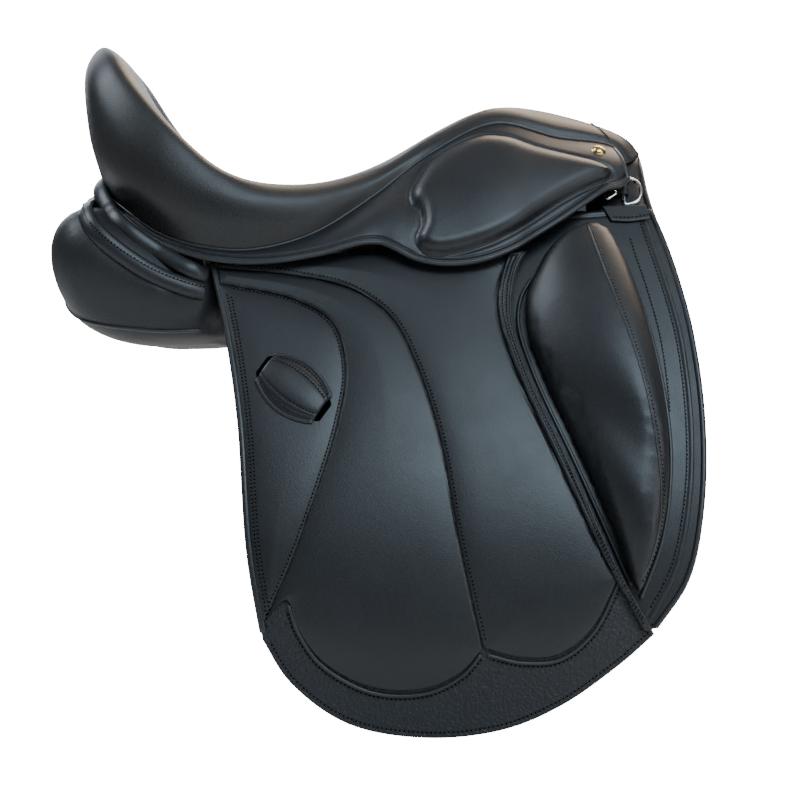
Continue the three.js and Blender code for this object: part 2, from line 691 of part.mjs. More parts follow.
// ---------------------------------------------------------------- under-flap and block
const underEdges = {
  top: outline([[-112, 46], [0, 50], [110, 66], [196, 92], [222, 96]]),
  rear: outline([[-112, 46], [-100, -20], [-91, -100], [-83, -180], [-72, -214]]),
  bottom: outline([[-72, -214], [-30, -268], [30, -286], [95, -279], [150, -252], [212, -222]]),
  front: outline([[222, 96], [237, 46], [246, 2], [250, -60], [247, -120], [234, -180],
    [212, -222]]),
};
const sweatEdges = {
  top: outline([[-108, 40], [0, 44], [110, 60], [200, 84], [236, 90]]),
  rear: outline([[-108, 40], [-96, -20], [-87, -100], [-80, -180], [-68, -218]]),
  bottom: outline([[-68, -218], [-30, -274], [30, -292], [95, -285], [152, -256], [215, -227]]),
  front: outline([[236, 90], [246, 52], [253, 8], [258, -60], [254, -132], [241, -188],
    [215, -227]]),
};
const blockEdges = {
  top: outline([[125, 48], [135, 64], [152, 79], [172, 87], [187, 85], [195, 76]]),
  rear: outline([[125, 48], [116, 32], [113, 10], [124, -30], [156, -103], [196, -194]]),
  bottom: shortEdge([196, -194], [203, -204]),
  front: outline([[195, 76], [204, 56], [213, 28], [221, -5], [228, -50], [230, -98],
    [222, -155], [203, -204]]),
};
const BLOCK_RISE = 36;

function blockDepth(u, v) {
  const across = Math.sin(Math.PI * Math.min(1, Math.max(0, u))) ** 0.6;
  const along = Math.sin(Math.PI * (0.06 + 0.9 * v)) ** 0.5;
  return 2 + BLOCK_RISE * across * along;
}

function kneeBlock() {
  const base = UNDER_FLAP[1] + GAP;
  return sheetBetween(
    barrelGrid(blockEdges, 7, 10, (u, v) => base + blockDepth(u, v)),
    barrelGrid(blockEdges, 7, 10, base),
  );
}

// ---------------------------------------------------------------- panels
// Rings of the wool-stuffed cushion: x, centre y and z, half width, half height, tilt
const PANEL = [
  [-268, 90, 66, 20, 24, 8],
  [-258, 90, 64, 42, 42, 8],
  [-240, 90, 58, 52, 50, 8],
  [-208, 90, 45, 55, 46, 8],
  [-172, 90, 33, 55, 36, 8],
  [-142, 88, 28, 53, 30, 10],
  [-125, 78, 26, 44, 29, 10],
  [-80, 78, 25, 45, 27, 14],
  [-30, 80, 30, 47, 26, 24],
  [20, 80, 40, 48, 23, 36],
  [70, 78, 54, 48, 20, 46],
  [115, 74, 62, 46, 18, 52],
  [150, 70, 62, 44, 15, 56],
  [185, 70, 60, 40, 13, 56],
  [206, 72, 60, 32, 9, 56],
];
const PANEL_SIDES = 14;
const GUSSET_ANGLE = 55 * DEGREE;
const POCKET_INNER = -31;        // the panel stays inside the point pocket

function panelRing([x, cy, cz, a, b, tilt]) {
  const wide = P(0, Math.cos(tilt * DEGREE), -Math.sin(tilt * DEGREE));
  const up = P(0, Math.sin(tilt * DEGREE), Math.cos(tilt * DEGREE));
  const limit = x < -135 ? 60 : x < 112 ? SWEAT_FLAP[0] - 0.8 : POCKET_INNER;
  return steps(PANEL_SIDES).slice(0, -1).map((t) => {
    const [c, s] = [Math.cos(2 * Math.PI * t), Math.sin(2 * Math.PI * t)];
    const p = P(x, cy, cz)
      .addScaledVector(wide, a * Math.sign(c) * Math.abs(c) ** 0.8)
      .addScaledVector(up, b * Math.sign(s) * Math.abs(s) ** 0.8);
    p.y = Math.min(p.y, onBarrel(x, p.z - limit * barrelNormal(x, p.z).z, limit).y);
    return p;
  });
}

const panel = () => loft(PANEL.map(panelRing));

// Welt of the gusset, sewn along the upper outer edge of the panel's rear
function rearGusset() {
  const points = PANEL.slice(0, 5).map((row) => {
    const out = P(0, Math.cos(GUSSET_ANGLE), Math.sin(GUSSET_ANGLE));
    const edge = panelRing(row)[2].addScaledVector(out, 4.2);
    return row === PANEL[0] ? edge.add(P(-2, 0, 0)) : edge;
  });
  const line = spline(points);
  const rings = steps(10).map((t) => {
    const tangent = line.getTangent(t);
    const out = P(tangent.y, -tangent.x, 0).normalize();
    if (out.y < 0) out.negate();
    return disc(line.getPoint(t), out, tangent.clone().cross(out), 3, 6);
  });
  return loft(rings);
}

// Pocket on the panel's side that the point of the tree slides into
function pointPocket() {
  const wall = (t, grow) => {
    const f = archFrame(Math.min(1, t));
    const tangent = f.wide.clone().cross(f.up);
    if (tangent.z > 0) tangent.negate();
    const centre = f.centre.addScaledVector(tangent, Math.max(0, t - 1) * 120);
    const half = TREE_THICK / 2 + grow;
    return slat(centre, f.wide, f.up, 12.5 + grow, -half - 4.4, half);
  };
  const outer = loft([0.86, 0.93, 1, 1.04].map((t) => wall(t, 2.4)));
  const inner = loft([0.8, 0.9, 1, 1.015].map((t) => wall(t, 0.5)));
  return cut(outer, inner);
}

// ---------------------------------------------------------------- small metal
const RING_WIRE = 1.8;
const RING_TOP = P(206, 54, 136);
const RING_FOOT = P(206, 67, 113);
const RING_REACH = 15;           // how far the bow stands forward of the straight side

// D-ring: its straight side stands in the chape and its bow points forward
function dRing() {
  const side = RING_FOOT.clone().sub(RING_TOP);
  const half = side.length() / 2;
  side.normalize();
  const middle = mix(RING_TOP, RING_FOOT, 0.5);
  const points = [-0.45, 0, 0.45].map((t) => middle.clone().addScaledVector(side, t * half));
  for (const t of steps(8)) {
    const angle = Math.PI * (0.5 - t);
    points.push(middle.clone()
      .addScaledVector(side, half * Math.sin(angle))
      .add(P(1 + (RING_REACH - 1) * Math.cos(angle) ** 0.8, 0, 0)));
  }
  const line = new THREE.CatmullRomCurve3(points, true, 'centripetal');
  const out = side.clone().cross(P(1, 0, 0)).normalize();
  const rings = steps(24).slice(0, -1).map((t) => {
    const v = line.getTangent(t).cross(out).normalize();
    return disc(line.getPoint(t), out, v, RING_WIRE, 6);
  });
  return loft(rings, true);
}

// Leather loop round the ring's straight side, running back under the skirt
function ringChape() {
  const shape = new THREE.Shape();
  const bore = RING_WIRE + 0.6;
  const radius = bore + 1.8;
  shape.absarc(0, 0, radius, -Math.PI / 2, Math.PI / 2, false);
  shape.lineTo(-17, 1.6);
  shape.lineTo(-17, -1.6);
  shape.lineTo(-6, -radius);
  shape.closePath();
  const hole = new THREE.Path();
  hole.absarc(0, 0, bore, 0, 2 * Math.PI, true);
  shape.holes.push(hole);
  const tall = 9;
  const band = new THREE.ExtrudeGeometry(shape, {
    depth: tall,
    bevelEnabled: false,
    curveSegments: 6,
  });
  band.translate(0, 0, -tall / 2);
  const side = RING_TOP.clone().sub(RING_FOOT).normalize();
  band.rotateX(Math.atan2(-side.y, side.z));
  const middle = mix(RING_TOP, RING_FOOT, 0.5);
  band.translate(middle.x, middle.y, middle.z);
  return geometryOf(solidOf(band));
}

const NAIL_AT = [0.965, 0.22];    // on the skirt's front end

function saddleNail() {
  const profile = [[0, 0], [6.2, 0], [6.2, 1], [4.6, 2.8], [2.4, 3.9], [0, 4.3]];
  const nail = new THREE.LatheGeometry(profile.map(([r, h]) => new THREE.Vector2(r, h)), 16);
  const [u, v] = NAIL_AT;
  nail.applyQuaternion(new THREE.Quaternion().setFromUnitVectors(P(0, 1, 0), skirtNormal(u, v)));
  const spot = skirtPoint(u, v, -GAP);
  nail.translate(spot.x, spot.y, spot.z);
  return geometryOf(solidOf(nail));
}

// ---------------------------------------------------------------- assembly
add('tree_frame', treeFrame(), looks.wood);
add('head_plate', headPlate(), looks.steel);
addPair('spring_strip', springStrip(), looks.steel);
addPair('stirrup_bar', stirrupBar(), looks.steel);
addPair('bar_catch', barCatch(), looks.steel);
addPair('catch_pin', catchPin(), looks.steel);
addPair('bar_rivet', barRivet(), looks.steel);
add('seat_web', seatWeb(), looks.webbing);
add('girth_web_front', girthWeb(STRAPS[0][1], FRONT_WEB), looks.webbing);
add('girth_web_rear', girthWeb(STRAPS[1][1], REAR_WEB), looks.webbing);
for (const [place, x] of STRAPS) {
  addPair(`girth_strap_${place}`, girthStrap(x), looks.leather);
}
add('seat_foam', seatFoam(), looks.foam);
add('seat_cover', seatCover(), looks.leather);
addPair('seat_welt', seatWelt(), looks.leather);
add('cantle_facing', cantleFacing(), looks.leather);
add('pommel_facing', pommelFacing(), looks.leather);
addPair('skirt', skirt(), looks.leather);
addPair('skirt_pad', skirtPad(), looks.leather);
addPair('flap', flap(), looks.grain);
addPair('flap_rear_panel', fanPanel(EDGE_REAR, shifted(SEAM_A, -1, -1)), looks.leather);
addPair('flap_middle_panel', fanPanel(SEAM_A, SEAM_B, HEM_MIDDLE), looks.leather);
addPair('flap_front_panel', fanPanel(shifted(SEAM_B, 1.4, 1.4), EDGE_FRONT, HEM_FRONT),
  looks.leather);
addPair('flap_border', flapBorder(), looks.leather);
addPair('keeper_loop', keeperLoop(), looks.leather);
addPair('under_flap', barrelSheet(underEdges, 8, 10, UNDER_FLAP), looks.leather);
addPair('sweat_flap', barrelSheet(sweatEdges, 8, 10, SWEAT_FLAP), looks.leather);
addPair('knee_block', kneeBlock(), looks.leather);
addPair('panel', panel(), looks.lining);
addPair('rear_gusset', rearGusset(), looks.leather);
addPair('point_pocket', pointPocket(), looks.leather);
addPair('d_ring', dRing(), looks.chrome);
addPair('ring_chape', ringChape(), looks.leather);
addPair('saddle_nail', saddleNail(), looks.brass);

export default saddle;
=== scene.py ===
"""English saddle: leather, stitching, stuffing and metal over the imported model."""
import math

import bmesh
import bpy
import numpy as np
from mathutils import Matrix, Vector
from mathutils.bvhtree import BVHTree

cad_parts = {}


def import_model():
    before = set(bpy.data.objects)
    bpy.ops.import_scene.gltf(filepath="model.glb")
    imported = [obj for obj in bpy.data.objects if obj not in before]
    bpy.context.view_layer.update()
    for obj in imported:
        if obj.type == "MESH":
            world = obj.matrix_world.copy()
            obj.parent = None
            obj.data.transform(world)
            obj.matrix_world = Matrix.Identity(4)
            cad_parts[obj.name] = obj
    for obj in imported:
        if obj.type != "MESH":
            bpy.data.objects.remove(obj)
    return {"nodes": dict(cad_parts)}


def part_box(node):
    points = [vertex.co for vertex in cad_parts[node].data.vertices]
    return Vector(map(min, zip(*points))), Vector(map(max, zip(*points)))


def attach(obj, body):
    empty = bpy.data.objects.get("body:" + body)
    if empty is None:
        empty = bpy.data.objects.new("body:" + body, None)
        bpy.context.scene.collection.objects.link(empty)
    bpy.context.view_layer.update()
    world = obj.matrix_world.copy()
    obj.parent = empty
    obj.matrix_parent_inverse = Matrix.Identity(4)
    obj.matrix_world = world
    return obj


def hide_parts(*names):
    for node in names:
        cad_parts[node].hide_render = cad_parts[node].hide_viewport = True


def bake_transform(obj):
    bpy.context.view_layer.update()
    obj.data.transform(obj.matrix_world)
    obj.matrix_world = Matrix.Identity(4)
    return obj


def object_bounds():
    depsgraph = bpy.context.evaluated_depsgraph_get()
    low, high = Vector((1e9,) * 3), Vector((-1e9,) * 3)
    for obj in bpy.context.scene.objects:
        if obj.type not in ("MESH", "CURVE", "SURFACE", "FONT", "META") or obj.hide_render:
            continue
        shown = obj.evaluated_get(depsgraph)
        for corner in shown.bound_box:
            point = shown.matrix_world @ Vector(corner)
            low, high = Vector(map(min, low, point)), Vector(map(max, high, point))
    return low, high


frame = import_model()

CAD_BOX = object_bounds()
MM = 0.001
NODES = frame["nodes"]
SIDES = (("left", 1), ("right", -1))


# ---------------------------------------------------------------- camera, floor and light
BACKDROP = 24.0                   # brightness of the white that the camera sees
CAMERA_AIM = (0.0175, 0, -0.0524)
CAMERA_AT = (0.0175, -1.9, -0.0524 + 0.02)
FOCAL_LENGTH = 97.94


def added(name, data):
    obj = bpy.data.objects.new(name, data)
    bpy.context.scene.collection.objects.link(obj)
    return obj


def aim(obj, place, target):
    obj.location = place
    direction = Vector(target) - obj.location
    obj.rotation_euler = direction.to_track_quat("-Z", "Y").to_euler()


def camera():
    data = bpy.data.cameras.new("camera")
    data.lens = FOCAL_LENGTH
    data.sensor_width = 36
    data.clip_start = 0.05
    data.clip_end = 60
    cam = added("camera", data)
    aim(cam, CAMERA_AT, CAMERA_AIM)
    bpy.context.scene.camera = cam


def softbox(name, place, target, size, power, color):
    data = bpy.data.lights.new(name, "AREA")
    data.shape = "RECTANGLE"
    data.size, data.size_y = size
    data.energy = power
    data.color = color
    aim(added(name, data), place, target)


def feed(tree, n, inputs):
    """Sets a node's inputs by name; another node's socket is linked, anything else is a value."""
    for key, value in inputs.items():
        if isinstance(value, bpy.types.NodeSocket):
            tree.links.new(value, n.inputs[key])
        else:
            n.inputs[key].default_value = value


def node(tree, kind, inputs=None, **values):
    """A new node; values are its settings or its inputs."""
    n = tree.nodes.new(kind)
    for key, value in values.items():
        if key in n.inputs:
            feed(tree, n, {key: value})
        else:
            setattr(n, key, value)
    feed(tree, n, inputs or {})
    return n


def mixed(tree, share, first, second, out):
    """Ends a tree in a mix of two shaders."""
    mix = node(tree, "ShaderNodeMixShader")
    for k, socket in enumerate((share, first.outputs[0], second.outputs[0])):
        tree.links.new(socket, mix.inputs[k])
    tree.links.new(mix.outputs[0], out.inputs[0])


def world():
    w = bpy.data.worlds.new("studio")
    bpy.context.scene.world = w
    w.use_nodes = True
    t = w.node_tree
    t.nodes.clear()
    out = node(t, "ShaderNodeOutputWorld")
    coord = node(t, "ShaderNodeTexCoord")
    split = node(t, "ShaderNodeSeparateXYZ", Vector=coord.outputs["Generated"])
    half = node(t, "ShaderNodeMath", operation="MULTIPLY_ADD")
    t.links.new(split.outputs["Z"], half.inputs[0])
    half.inputs[1].default_value = 0.5
    half.inputs[2].default_value = 0.5
    ramp = node(t, "ShaderNodeValToRGB", Fac=half.outputs[0])
    stops = ramp.color_ramp.elements
    stops[0].position, stops[0].color = 0.35, (0.05, 0.05, 0.055, 1)
    stops[1].position, stops[1].color = 0.95, (0.75, 0.8, 0.88, 1)
    lit = node(t, "ShaderNodeBackground", Color=ramp.outputs[0], Strength=0.32)
    seen = node(t, "ShaderNodeBackground", Color=(1, 1, 1, 1), Strength=BACKDROP)
    path = node(t, "ShaderNodeLightPath")
    mixed(t, path.outputs["Is Camera Ray"], lit, seen, out)


def floor():
    mesh = bpy.data.meshes.new("floor")
    corners = [(-30, -30), (30, -30), (30, 30), (-30, 30)]
    level = CAD_BOX[0][2] - 0.004
    mesh.from_pydata([(x, y, level) for x, y in corners], [], [(0, 1, 2, 3)])
    plane = added("floor", mesh)
    m = bpy.data.materials.new("floor")
    m.use_nodes = True
    t = m.node_tree
    t.nodes.clear()
    out = node(t, "ShaderNodeOutputMaterial")
    paint = node(t, "ShaderNodeBsdfDiffuse", Color=(0.82, 0.82, 0.82, 1))
    glow = node(t, "ShaderNodeEmission", Color=(1, 1, 1, 1), Strength=BACKDROP)
    path = node(t, "ShaderNodeLightPath")
    coord = node(t, "ShaderNodeTexCoord")
    ball = node(t, "ShaderNodeVectorMath", operation="LENGTH")
    t.links.new(coord.outputs["Object"], ball.inputs[0])
    fade = node(t, "ShaderNodeMapRange",
                {"Value": ball.outputs["Value"], "From Min": 0.15, "From Max": 1.1, "To Min": 0.72},
                interpolation_type="SMOOTHSTEP")
    cam_only = node(t, "ShaderNodeMath", operation="MULTIPLY")
    t.links.new(fade.outputs[0], cam_only.inputs[0])
    t.links.new(path.outputs["Is Camera Ray"], cam_only.inputs[1])
    mixed(t, cam_only.outputs[0], paint, glow, out)
    mesh.materials.append(m)


# ---------------------------------------------------------------- materials
def material(name):
    """A new material, its node tree, its shader and the object's own coordinates."""
    m = bpy.data.materials.new(name)
    m.use_nodes = True
    t = m.node_tree
    return m, t, t.nodes["Principled BSDF"], node(t, "ShaderNodeTexCoord").outputs["Object"]


def between(t, share, first, second):
    """Colour between two by a share from 0 to 1."""
    mix = node(t, "ShaderNodeMix", data_type="RGBA", Factor=share, A=first, B=second)
    return mix.outputs["Result"]


def spread(t, value, low, high):
    return node(t, "ShaderNodeMapRange", {"Value": value, "To Min": low, "To Max": high}).outputs[0]


def leather(name, color, rough, pore, pore_depth, crease_depth, coat=0.0, wear=0.35, gloss=0.5):
    """Dyed hide: pores, faint creases, uneven dye and paler worn edges."""
    m, t, shader, at = material(name)
    cloudy = node(t, "ShaderNodeTexNoise", Vector=at, Scale=9.0, Detail=4.0, Roughness=0.6)
    dye = between(t, cloudy.outputs["Fac"], (*[c * 0.7 for c in color], 1),
                  (*[c * 1.35 for c in color], 1))
    edge = node(t, "ShaderNodeNewGeometry")
    ridge = node(t, "ShaderNodeMapRange", {"Value": edge.outputs["Pointiness"], "From Min": 0.53,
                                           "From Max": 0.66, "To Max": wear})
    polish = node(t, "ShaderNodeTexNoise", Vector=at, Scale=26.0, Detail=5.0, Roughness=0.65)
    warp = node(t, "ShaderNodeTexNoise", Vector=at, Scale=pore * 0.5, Detail=2.0)
    shift = node(t, "ShaderNodeMix", data_type="VECTOR", Factor=0.0015, A=at,
                 B=warp.outputs["Color"])
    grain = node(t, "ShaderNodeTexVoronoi", feature="SMOOTH_F1", Scale=pore,
                 Vector=shift.outputs["Result"])
    folds = node(t, "ShaderNodeTexNoise", Vector=at, Scale=48.0, Detail=6.0, Roughness=0.55,
                 Distortion=0.6)
    creases = node(t, "ShaderNodeBump", Strength=0.35, Distance=crease_depth * MM,
                   Height=folds.outputs["Fac"])
    pores = node(t, "ShaderNodeBump", Strength=0.7, Distance=pore_depth * MM,
                 Height=grain.outputs["Distance"], Normal=creases.outputs["Normal"])
    feed(t, shader, {
        "Base Color": between(t, ridge.outputs[0], dye, (0.11, 0.115, 0.12, 1)),
        "Roughness": spread(t, polish.outputs["Fac"], rough - 0.07, rough + 0.09),
        "Normal": pores.outputs["Normal"], "Specular IOR Level": gloss,
        "Coat Weight": coat, "Coat Roughness": 0.3})
    return m


def metal(name, color, rough, scratch):
    """Bright metal with fine rubbing marks and duller patches."""
    m, t, shader, at = material(name)
    stretch = node(t, "ShaderNodeMapping", Scale=(90, 900, 900), Vector=at)
    lines = node(t, "ShaderNodeTexNoise", Vector=stretch.outputs[0], Scale=3.0, Detail=3.0)
    patch = node(t, "ShaderNodeTexNoise", Vector=at, Scale=160.0, Detail=3.0).outputs["Fac"]
    bump = node(t, "ShaderNodeBump", Strength=0.3, Distance=scratch * MM,
                Height=lines.outputs["Fac"])
    feed(t, shader, {
        "Metallic": 1, "Roughness": spread(t, patch, rough * 0.6, rough * 1.6),
        "Base Color": between(t, patch, (*[c * 0.86 for c in color], 1), (*color, 1)),
        "Normal": bump.outputs["Normal"]})
    return m


def banded(name, dark, light, scale, rough, depth, direction="X"):
    """Wood plies, woven webbing or spun thread: bands with noise across them."""
    m, t, shader, at = material(name)
    wave = node(t, "ShaderNodeTexWave", {"Detail Scale": 2.0, "Vector": at}, Scale=scale,
                Distortion=2.5, Detail=3.0, bands_direction=direction).outputs["Fac"]
    bump = node(t, "ShaderNodeBump", Strength=0.6, Distance=depth * MM, Height=wave)
    feed(t, shader, {
        "Base Color": between(t, wave, (*dark, 1), (*light, 1)),
        "Roughness": spread(t, wave, rough - 0.06, rough + 0.08),
        "Normal": bump.outputs["Normal"]})
    return m


BLACK = (0.0105, 0.0112, 0.0125)
SMOOTH = leather("smooth_leather", BLACK, 0.40, 950, 0.10, 0.35, coat=0.06)
SEATING = leather("seat_leather", (0.0125, 0.0115, 0.0108), 0.43, 820, 0.12, 0.45, coat=0.05)
GRAINED = leather("grained_leather", (0.012, 0.0125, 0.014), 0.52, 470, 1.5, 0.3)
LINING = leather("panel_leather", (0.011, 0.0115, 0.0125), 0.46, 760, 0.16, 0.6)
PIPING = leather("piping_leather", (0.013, 0.0135, 0.0145), 0.36, 1100, 0.08, 0.2, coat=0.1, wear=0.6)
THREAD = banded("waxed_thread", (0.010, 0.010, 0.011), (0.035, 0.036, 0.040), 900, 0.5, 0.15)
# Near-black, almost glossless sheet material: painted shade for the insides of stitch holes and the
# keeper's slots.
HOLE_SHADE = leather("painted_hole_shade", (0.0012, 0.0012, 0.0013), 0.9, 900, 0.05, 0.05, wear=0, gloss=0.02)
WOOD = banded("lacquered_beech", (0.012, 0.009, 0.007), (0.035, 0.026, 0.021), 60, 0.4, 0.05, "Z")
WEBBING = banded("proofed_webbing", (0.012, 0.012, 0.013), (0.04, 0.04, 0.042), 420, 0.8, 0.25)
FOAM = leather("seat_foam", (0.55, 0.46, 0.28), 0.85, 500, 0.5, 0.2, wear=0.1)
STEEL = metal("blued_steel", (0.33, 0.34, 0.36), 0.38, 0.03)
CHROME = metal("chrome_plate", (0.86, 0.87, 0.88), 0.09, 0.004)
BRASS = metal("brass", (0.87, 0.62, 0.22), 0.16, 0.006)


# ---------------------------------------------------------------- lines and surfaces, in mm
def read(t, where, values):
    """Rows of values at t, each row standing at its place in where."""
    return np.column_stack([np.interp(t, where, values[:, k]) for k in range(3)])


def travelled(p):
    """Length along a line of points, from its start to each of them."""
    return np.concatenate([[0], np.cumsum(np.linalg.norm(np.diff(p, axis=0), axis=1))])


def settled(line, passes):
    """Evens a line out in place, its ends staying."""
    for _ in range(passes):
        line[1:-1] = (line[:-2] + 2 * line[1:-1] + line[2:]) / 4


def around(n):
    return np.linspace(0, 2 * math.pi, n, endpoint=False)


def circle(first, second, n):
    angle = around(n)
    return np.cos(angle)[:, None] * first + np.sin(angle)[:, None] * second


class Line:
    """Smooth line through points, read by parameter or by share of its length."""
    FINE = 48

    def __init__(self, points, closed=False):
        p = np.array(points, float)
        if p.shape[1] == 2:
            p = np.column_stack([p[:, 0], 0 * p[:, 0], p[:, 1]])
        if closed:
            p = np.vstack([p[-1], p, p[0], p[1]])
        else:
            p = np.vstack([2 * p[0] - p[1], p, 2 * p[-1] - p[-2]])
        w = np.linspace(0, 1, self.FINE, endpoint=False)[:, None]
        parts = []
        for a, b, c, d in zip(p, p[1:], p[2:], p[3:]):
            d1 = max(np.linalg.norm(c - b) ** 0.5, 1e-4)
            d0 = np.linalg.norm(b - a) ** 0.5 or d1
            d2 = np.linalg.norm(d - c) ** 0.5 or d1
            m1 = ((b - a) / d0 - (c - a) / (d0 + d1) + (c - b) / d1) * d1
            m2 = ((c - b) / d1 - (d - b) / (d1 + d2) + (d - c) / d2) * d1
            parts.append(b + m1 * w + (3 * (c - b) - 2 * m1 - m2) * w ** 2
                         + (2 * (b - c) + m1 + m2) * w ** 3)
        self.points = np.vstack([*parts, p[-2]])
        self.lengths = travelled(self.points)

    def at(self, t):
        return read(np.atleast_1d(t), np.linspace(0, 1, len(self.points)), self.points)

    def along(self, s):
        return read(np.atleast_1d(s), self.lengths / self.lengths[-1], self.points)


def unit(v):
    return v / np.maximum(np.linalg.norm(v, axis=-1, keepdims=True), 1e-9)


def square_to(v, axis):
    """Unit vectors at right angles to axis, as near as they come to v."""
    return unit(v - (v * axis).sum(-1, keepdims=True) * axis)


def eased(n, tight=0.86):
    """n + 1 steps from 0 to 1, closer together near both ends."""
    t = np.linspace(0, 1, n + 1)
    return t - tight * np.sin(2 * math.pi * t) / (2 * math.pi)


def quarter(d, radius):
    """Round shoulder: 0 at an edge, 1 from radius inwards."""
    return np.sqrt(np.clip(1 - (1 - np.clip(d / radius, 0, 1)) ** 2, 0, 1))


def dent(d, at, width):
    return np.exp(-((d - at) / width) ** 2)


def grooved(*dents):
    """Face of a sheet with lines pressed along its rim: depth, distance from the rim, width."""
    return lambda x, z, d: sum(depth * dent(d, at, width) for depth, at, width in dents)


def barrel_y(x, z):
    t = np.minimum(1, (80 - z) / 330)
    return 100 + 132 * np.sin(math.pi / 2 * t) - 0.0003 * (x - 40) ** 2 * np.maximum(0, t)


def barrel_normal(x, z):
    dx = barrel_y(x + 0.5, z) - barrel_y(x - 0.5, z)
    dz = barrel_y(x, z + 0.5) - barrel_y(x, z - 0.5)
    return unit(np.stack([-dx, np.ones_like(dx), -dz], axis=-1))


def on_barrel(x, z, d):
    x, z = np.asarray(x, float), np.asarray(z, float)
    return np.stack([x, barrel_y(x, z), z], axis=-1) + barrel_normal(x, z) * np.asarray(d)[..., None]


def coons(edges, us, vs):
    """Grid of x and z between four edges; rear and front run down, top and bottom forwards."""
    top, bottom, rear, front = [Line(edges[k]) for k in ("top", "bottom", "rear", "front")]
    u, v = us[None, :, None], vs[:, None, None]
    t, b = top.along(us)[None], bottom.along(us)[None]
    r, f = rear.along(vs)[:, None], front.along(vs)[:, None]
    corners = ((1 - u) * t[:, :1] + u * t[:, -1:]) * (1 - v) + ((1 - u) * b[:, :1] + u * b[:, -1:]) * v
    grid = (1 - v) * t + v * b + (1 - u) * r + u * f - corners
    return grid[..., 0], grid[..., 2]


def outline(edges):
    lines = [Line(edges[k]).along(np.linspace(0, 1, 160)) for k in ("top", "bottom", "rear", "front")]
    return np.vstack(lines)[:, [0, 2]]


def nearest(x, z, points):
    flat = np.column_stack([x.ravel(), z.ravel()])
    best = np.full(len(flat), 1e9)
    for k in range(0, len(points), 64):
        gap = flat[:, None, :] - points[None, k:k + 64, :]
        best = np.minimum(best, (gap ** 2).sum(-1).min(1))
    return np.sqrt(best).reshape(x.shape)


def inside(x, z, ring):
    """Whether points are inside a closed ring, by crossings."""
    hit = np.zeros(x.shape, bool)
    for (x0, z0), (x1, z1) in zip(ring, np.roll(ring, -1, axis=0)):
        if z0 == z1:
            continue
        crosses = (z0 > z) != (z1 > z)
        hit ^= crosses & (x < (x1 - x0) * (z - z0) / (z1 - z0) + x0)
    return hit


# ---------------------------------------------------------------- mesh pieces
def quads(rows, cols, wrap):
    """Faces between the neighbours of a grid; wrap joins each row's last point to its first."""
    return [(i * cols + j, i * cols + (j + 1) % cols, (i + 1) * cols + (j + 1) % cols,
             (i + 1) * cols + j)
            for i in range(rows - 1) for j in range(cols if wrap else cols - 1)]


class Shape:
    """Vertices in mm and faces, gathered before they become one object."""

    def __init__(self):
        self.points, self.faces, self.marks = [], [], []
        self.count = 0

    def add(self, points, faces, mark=0):
        points = np.asarray(points, float).reshape(-1, 3)
        self.points.append(points)
        self.faces += [tuple(i + self.count for i in f) for f in faces]
        self.marks += [mark] * len(faces)
        self.count += len(points)
        return self

    def grid(self, points, wrap=False, mark=0):
        return self.add(points, quads(*points.shape[:2], wrap), mark)

    def lids(self, rings):
        """Closes both ends of a wrapped grid."""
        order = list(range(len(rings[0])))
        return self.add(rings[0], [order[::-1]]).add(rings[-1], [order])

    def mirrored(self):
        twin = Shape()
        twin.points = [p * (1, -1, 1) for p in self.points]
        twin.faces = [f[::-1] for f in self.faces]
        twin.marks = list(self.marks)
        twin.count = self.count
        return twin


def build(name, shape, materials, weld=0.02, smooth=True):
    mesh = bpy.data.meshes.new(name)
    mesh.from_pydata((np.vstack(shape.points) * MM).tolist(), [], shape.faces)
    for m in materials:
        mesh.materials.append(m)
    mesh.polygons.foreach_set("material_index", shape.marks)
    bm = bmesh.new()
    bm.from_mesh(mesh)
    bmesh.ops.remove_doubles(bm, verts=bm.verts, dist=weld * MM)
    bmesh.ops.recalc_face_normals(bm, faces=bm.faces)
    bm.to_mesh(mesh)
    bm.free()
    mesh.polygons.foreach_set("use_smooth", [smooth] * len(mesh.polygons))
    return added(name, mesh)


def tree_of(obj):
    return BVHTree.FromObject(obj, bpy.context.evaluated_depsgraph_get())


def applied(obj):
    """The object's mesh with its modifiers applied, and the modifiers gone."""
    graph = bpy.context.evaluated_depsgraph_get()
    mesh = bpy.data.meshes.new_from_object(obj.evaluated_get(graph))
    obj.modifiers.clear()
    obj.data = mesh
    mesh.polygons.foreach_set("use_smooth", [True] * len(mesh.polygons))
    return obj


FIRST_ROW, LAST_ROW, FIRST_COLUMN, LAST_COLUMN = np.s_[0], np.s_[-1], np.s_[:, 0], np.s_[:, -1]


def slab(outer, inner, *edges, shape=None):
    """Two matching grids, joined along the edges named."""
    shape = shape or Shape()
    shape.grid(outer)
    shape.grid(inner)
    for edge in edges:
        shape.grid(np.stack([outer[edge], inner[edge]]))
    return shape


def leather_sheet(edges, inner, outer, nu, nv, rim=1.6, form=None):
    """Closed sheet of leather on the barrel with a rounded rim; form adds to its outer face."""
    x, z = coons(edges, eased(nu), eased(nv))
    d = nearest(x, z, outline(edges))
    d[0, :] = d[-1, :] = d[:, 0] = d[:, -1] = 0
    round_ = quarter(d, rim)
    middle, half = (inner + outer) / 2, (outer - inner) / 2
    rise = form(x, z, d) if form else 0
    top = on_barrel(x, z, middle + half * round_ + rise)
    low = on_barrel(x, z, middle - half * round_)
    return slab(top, low)


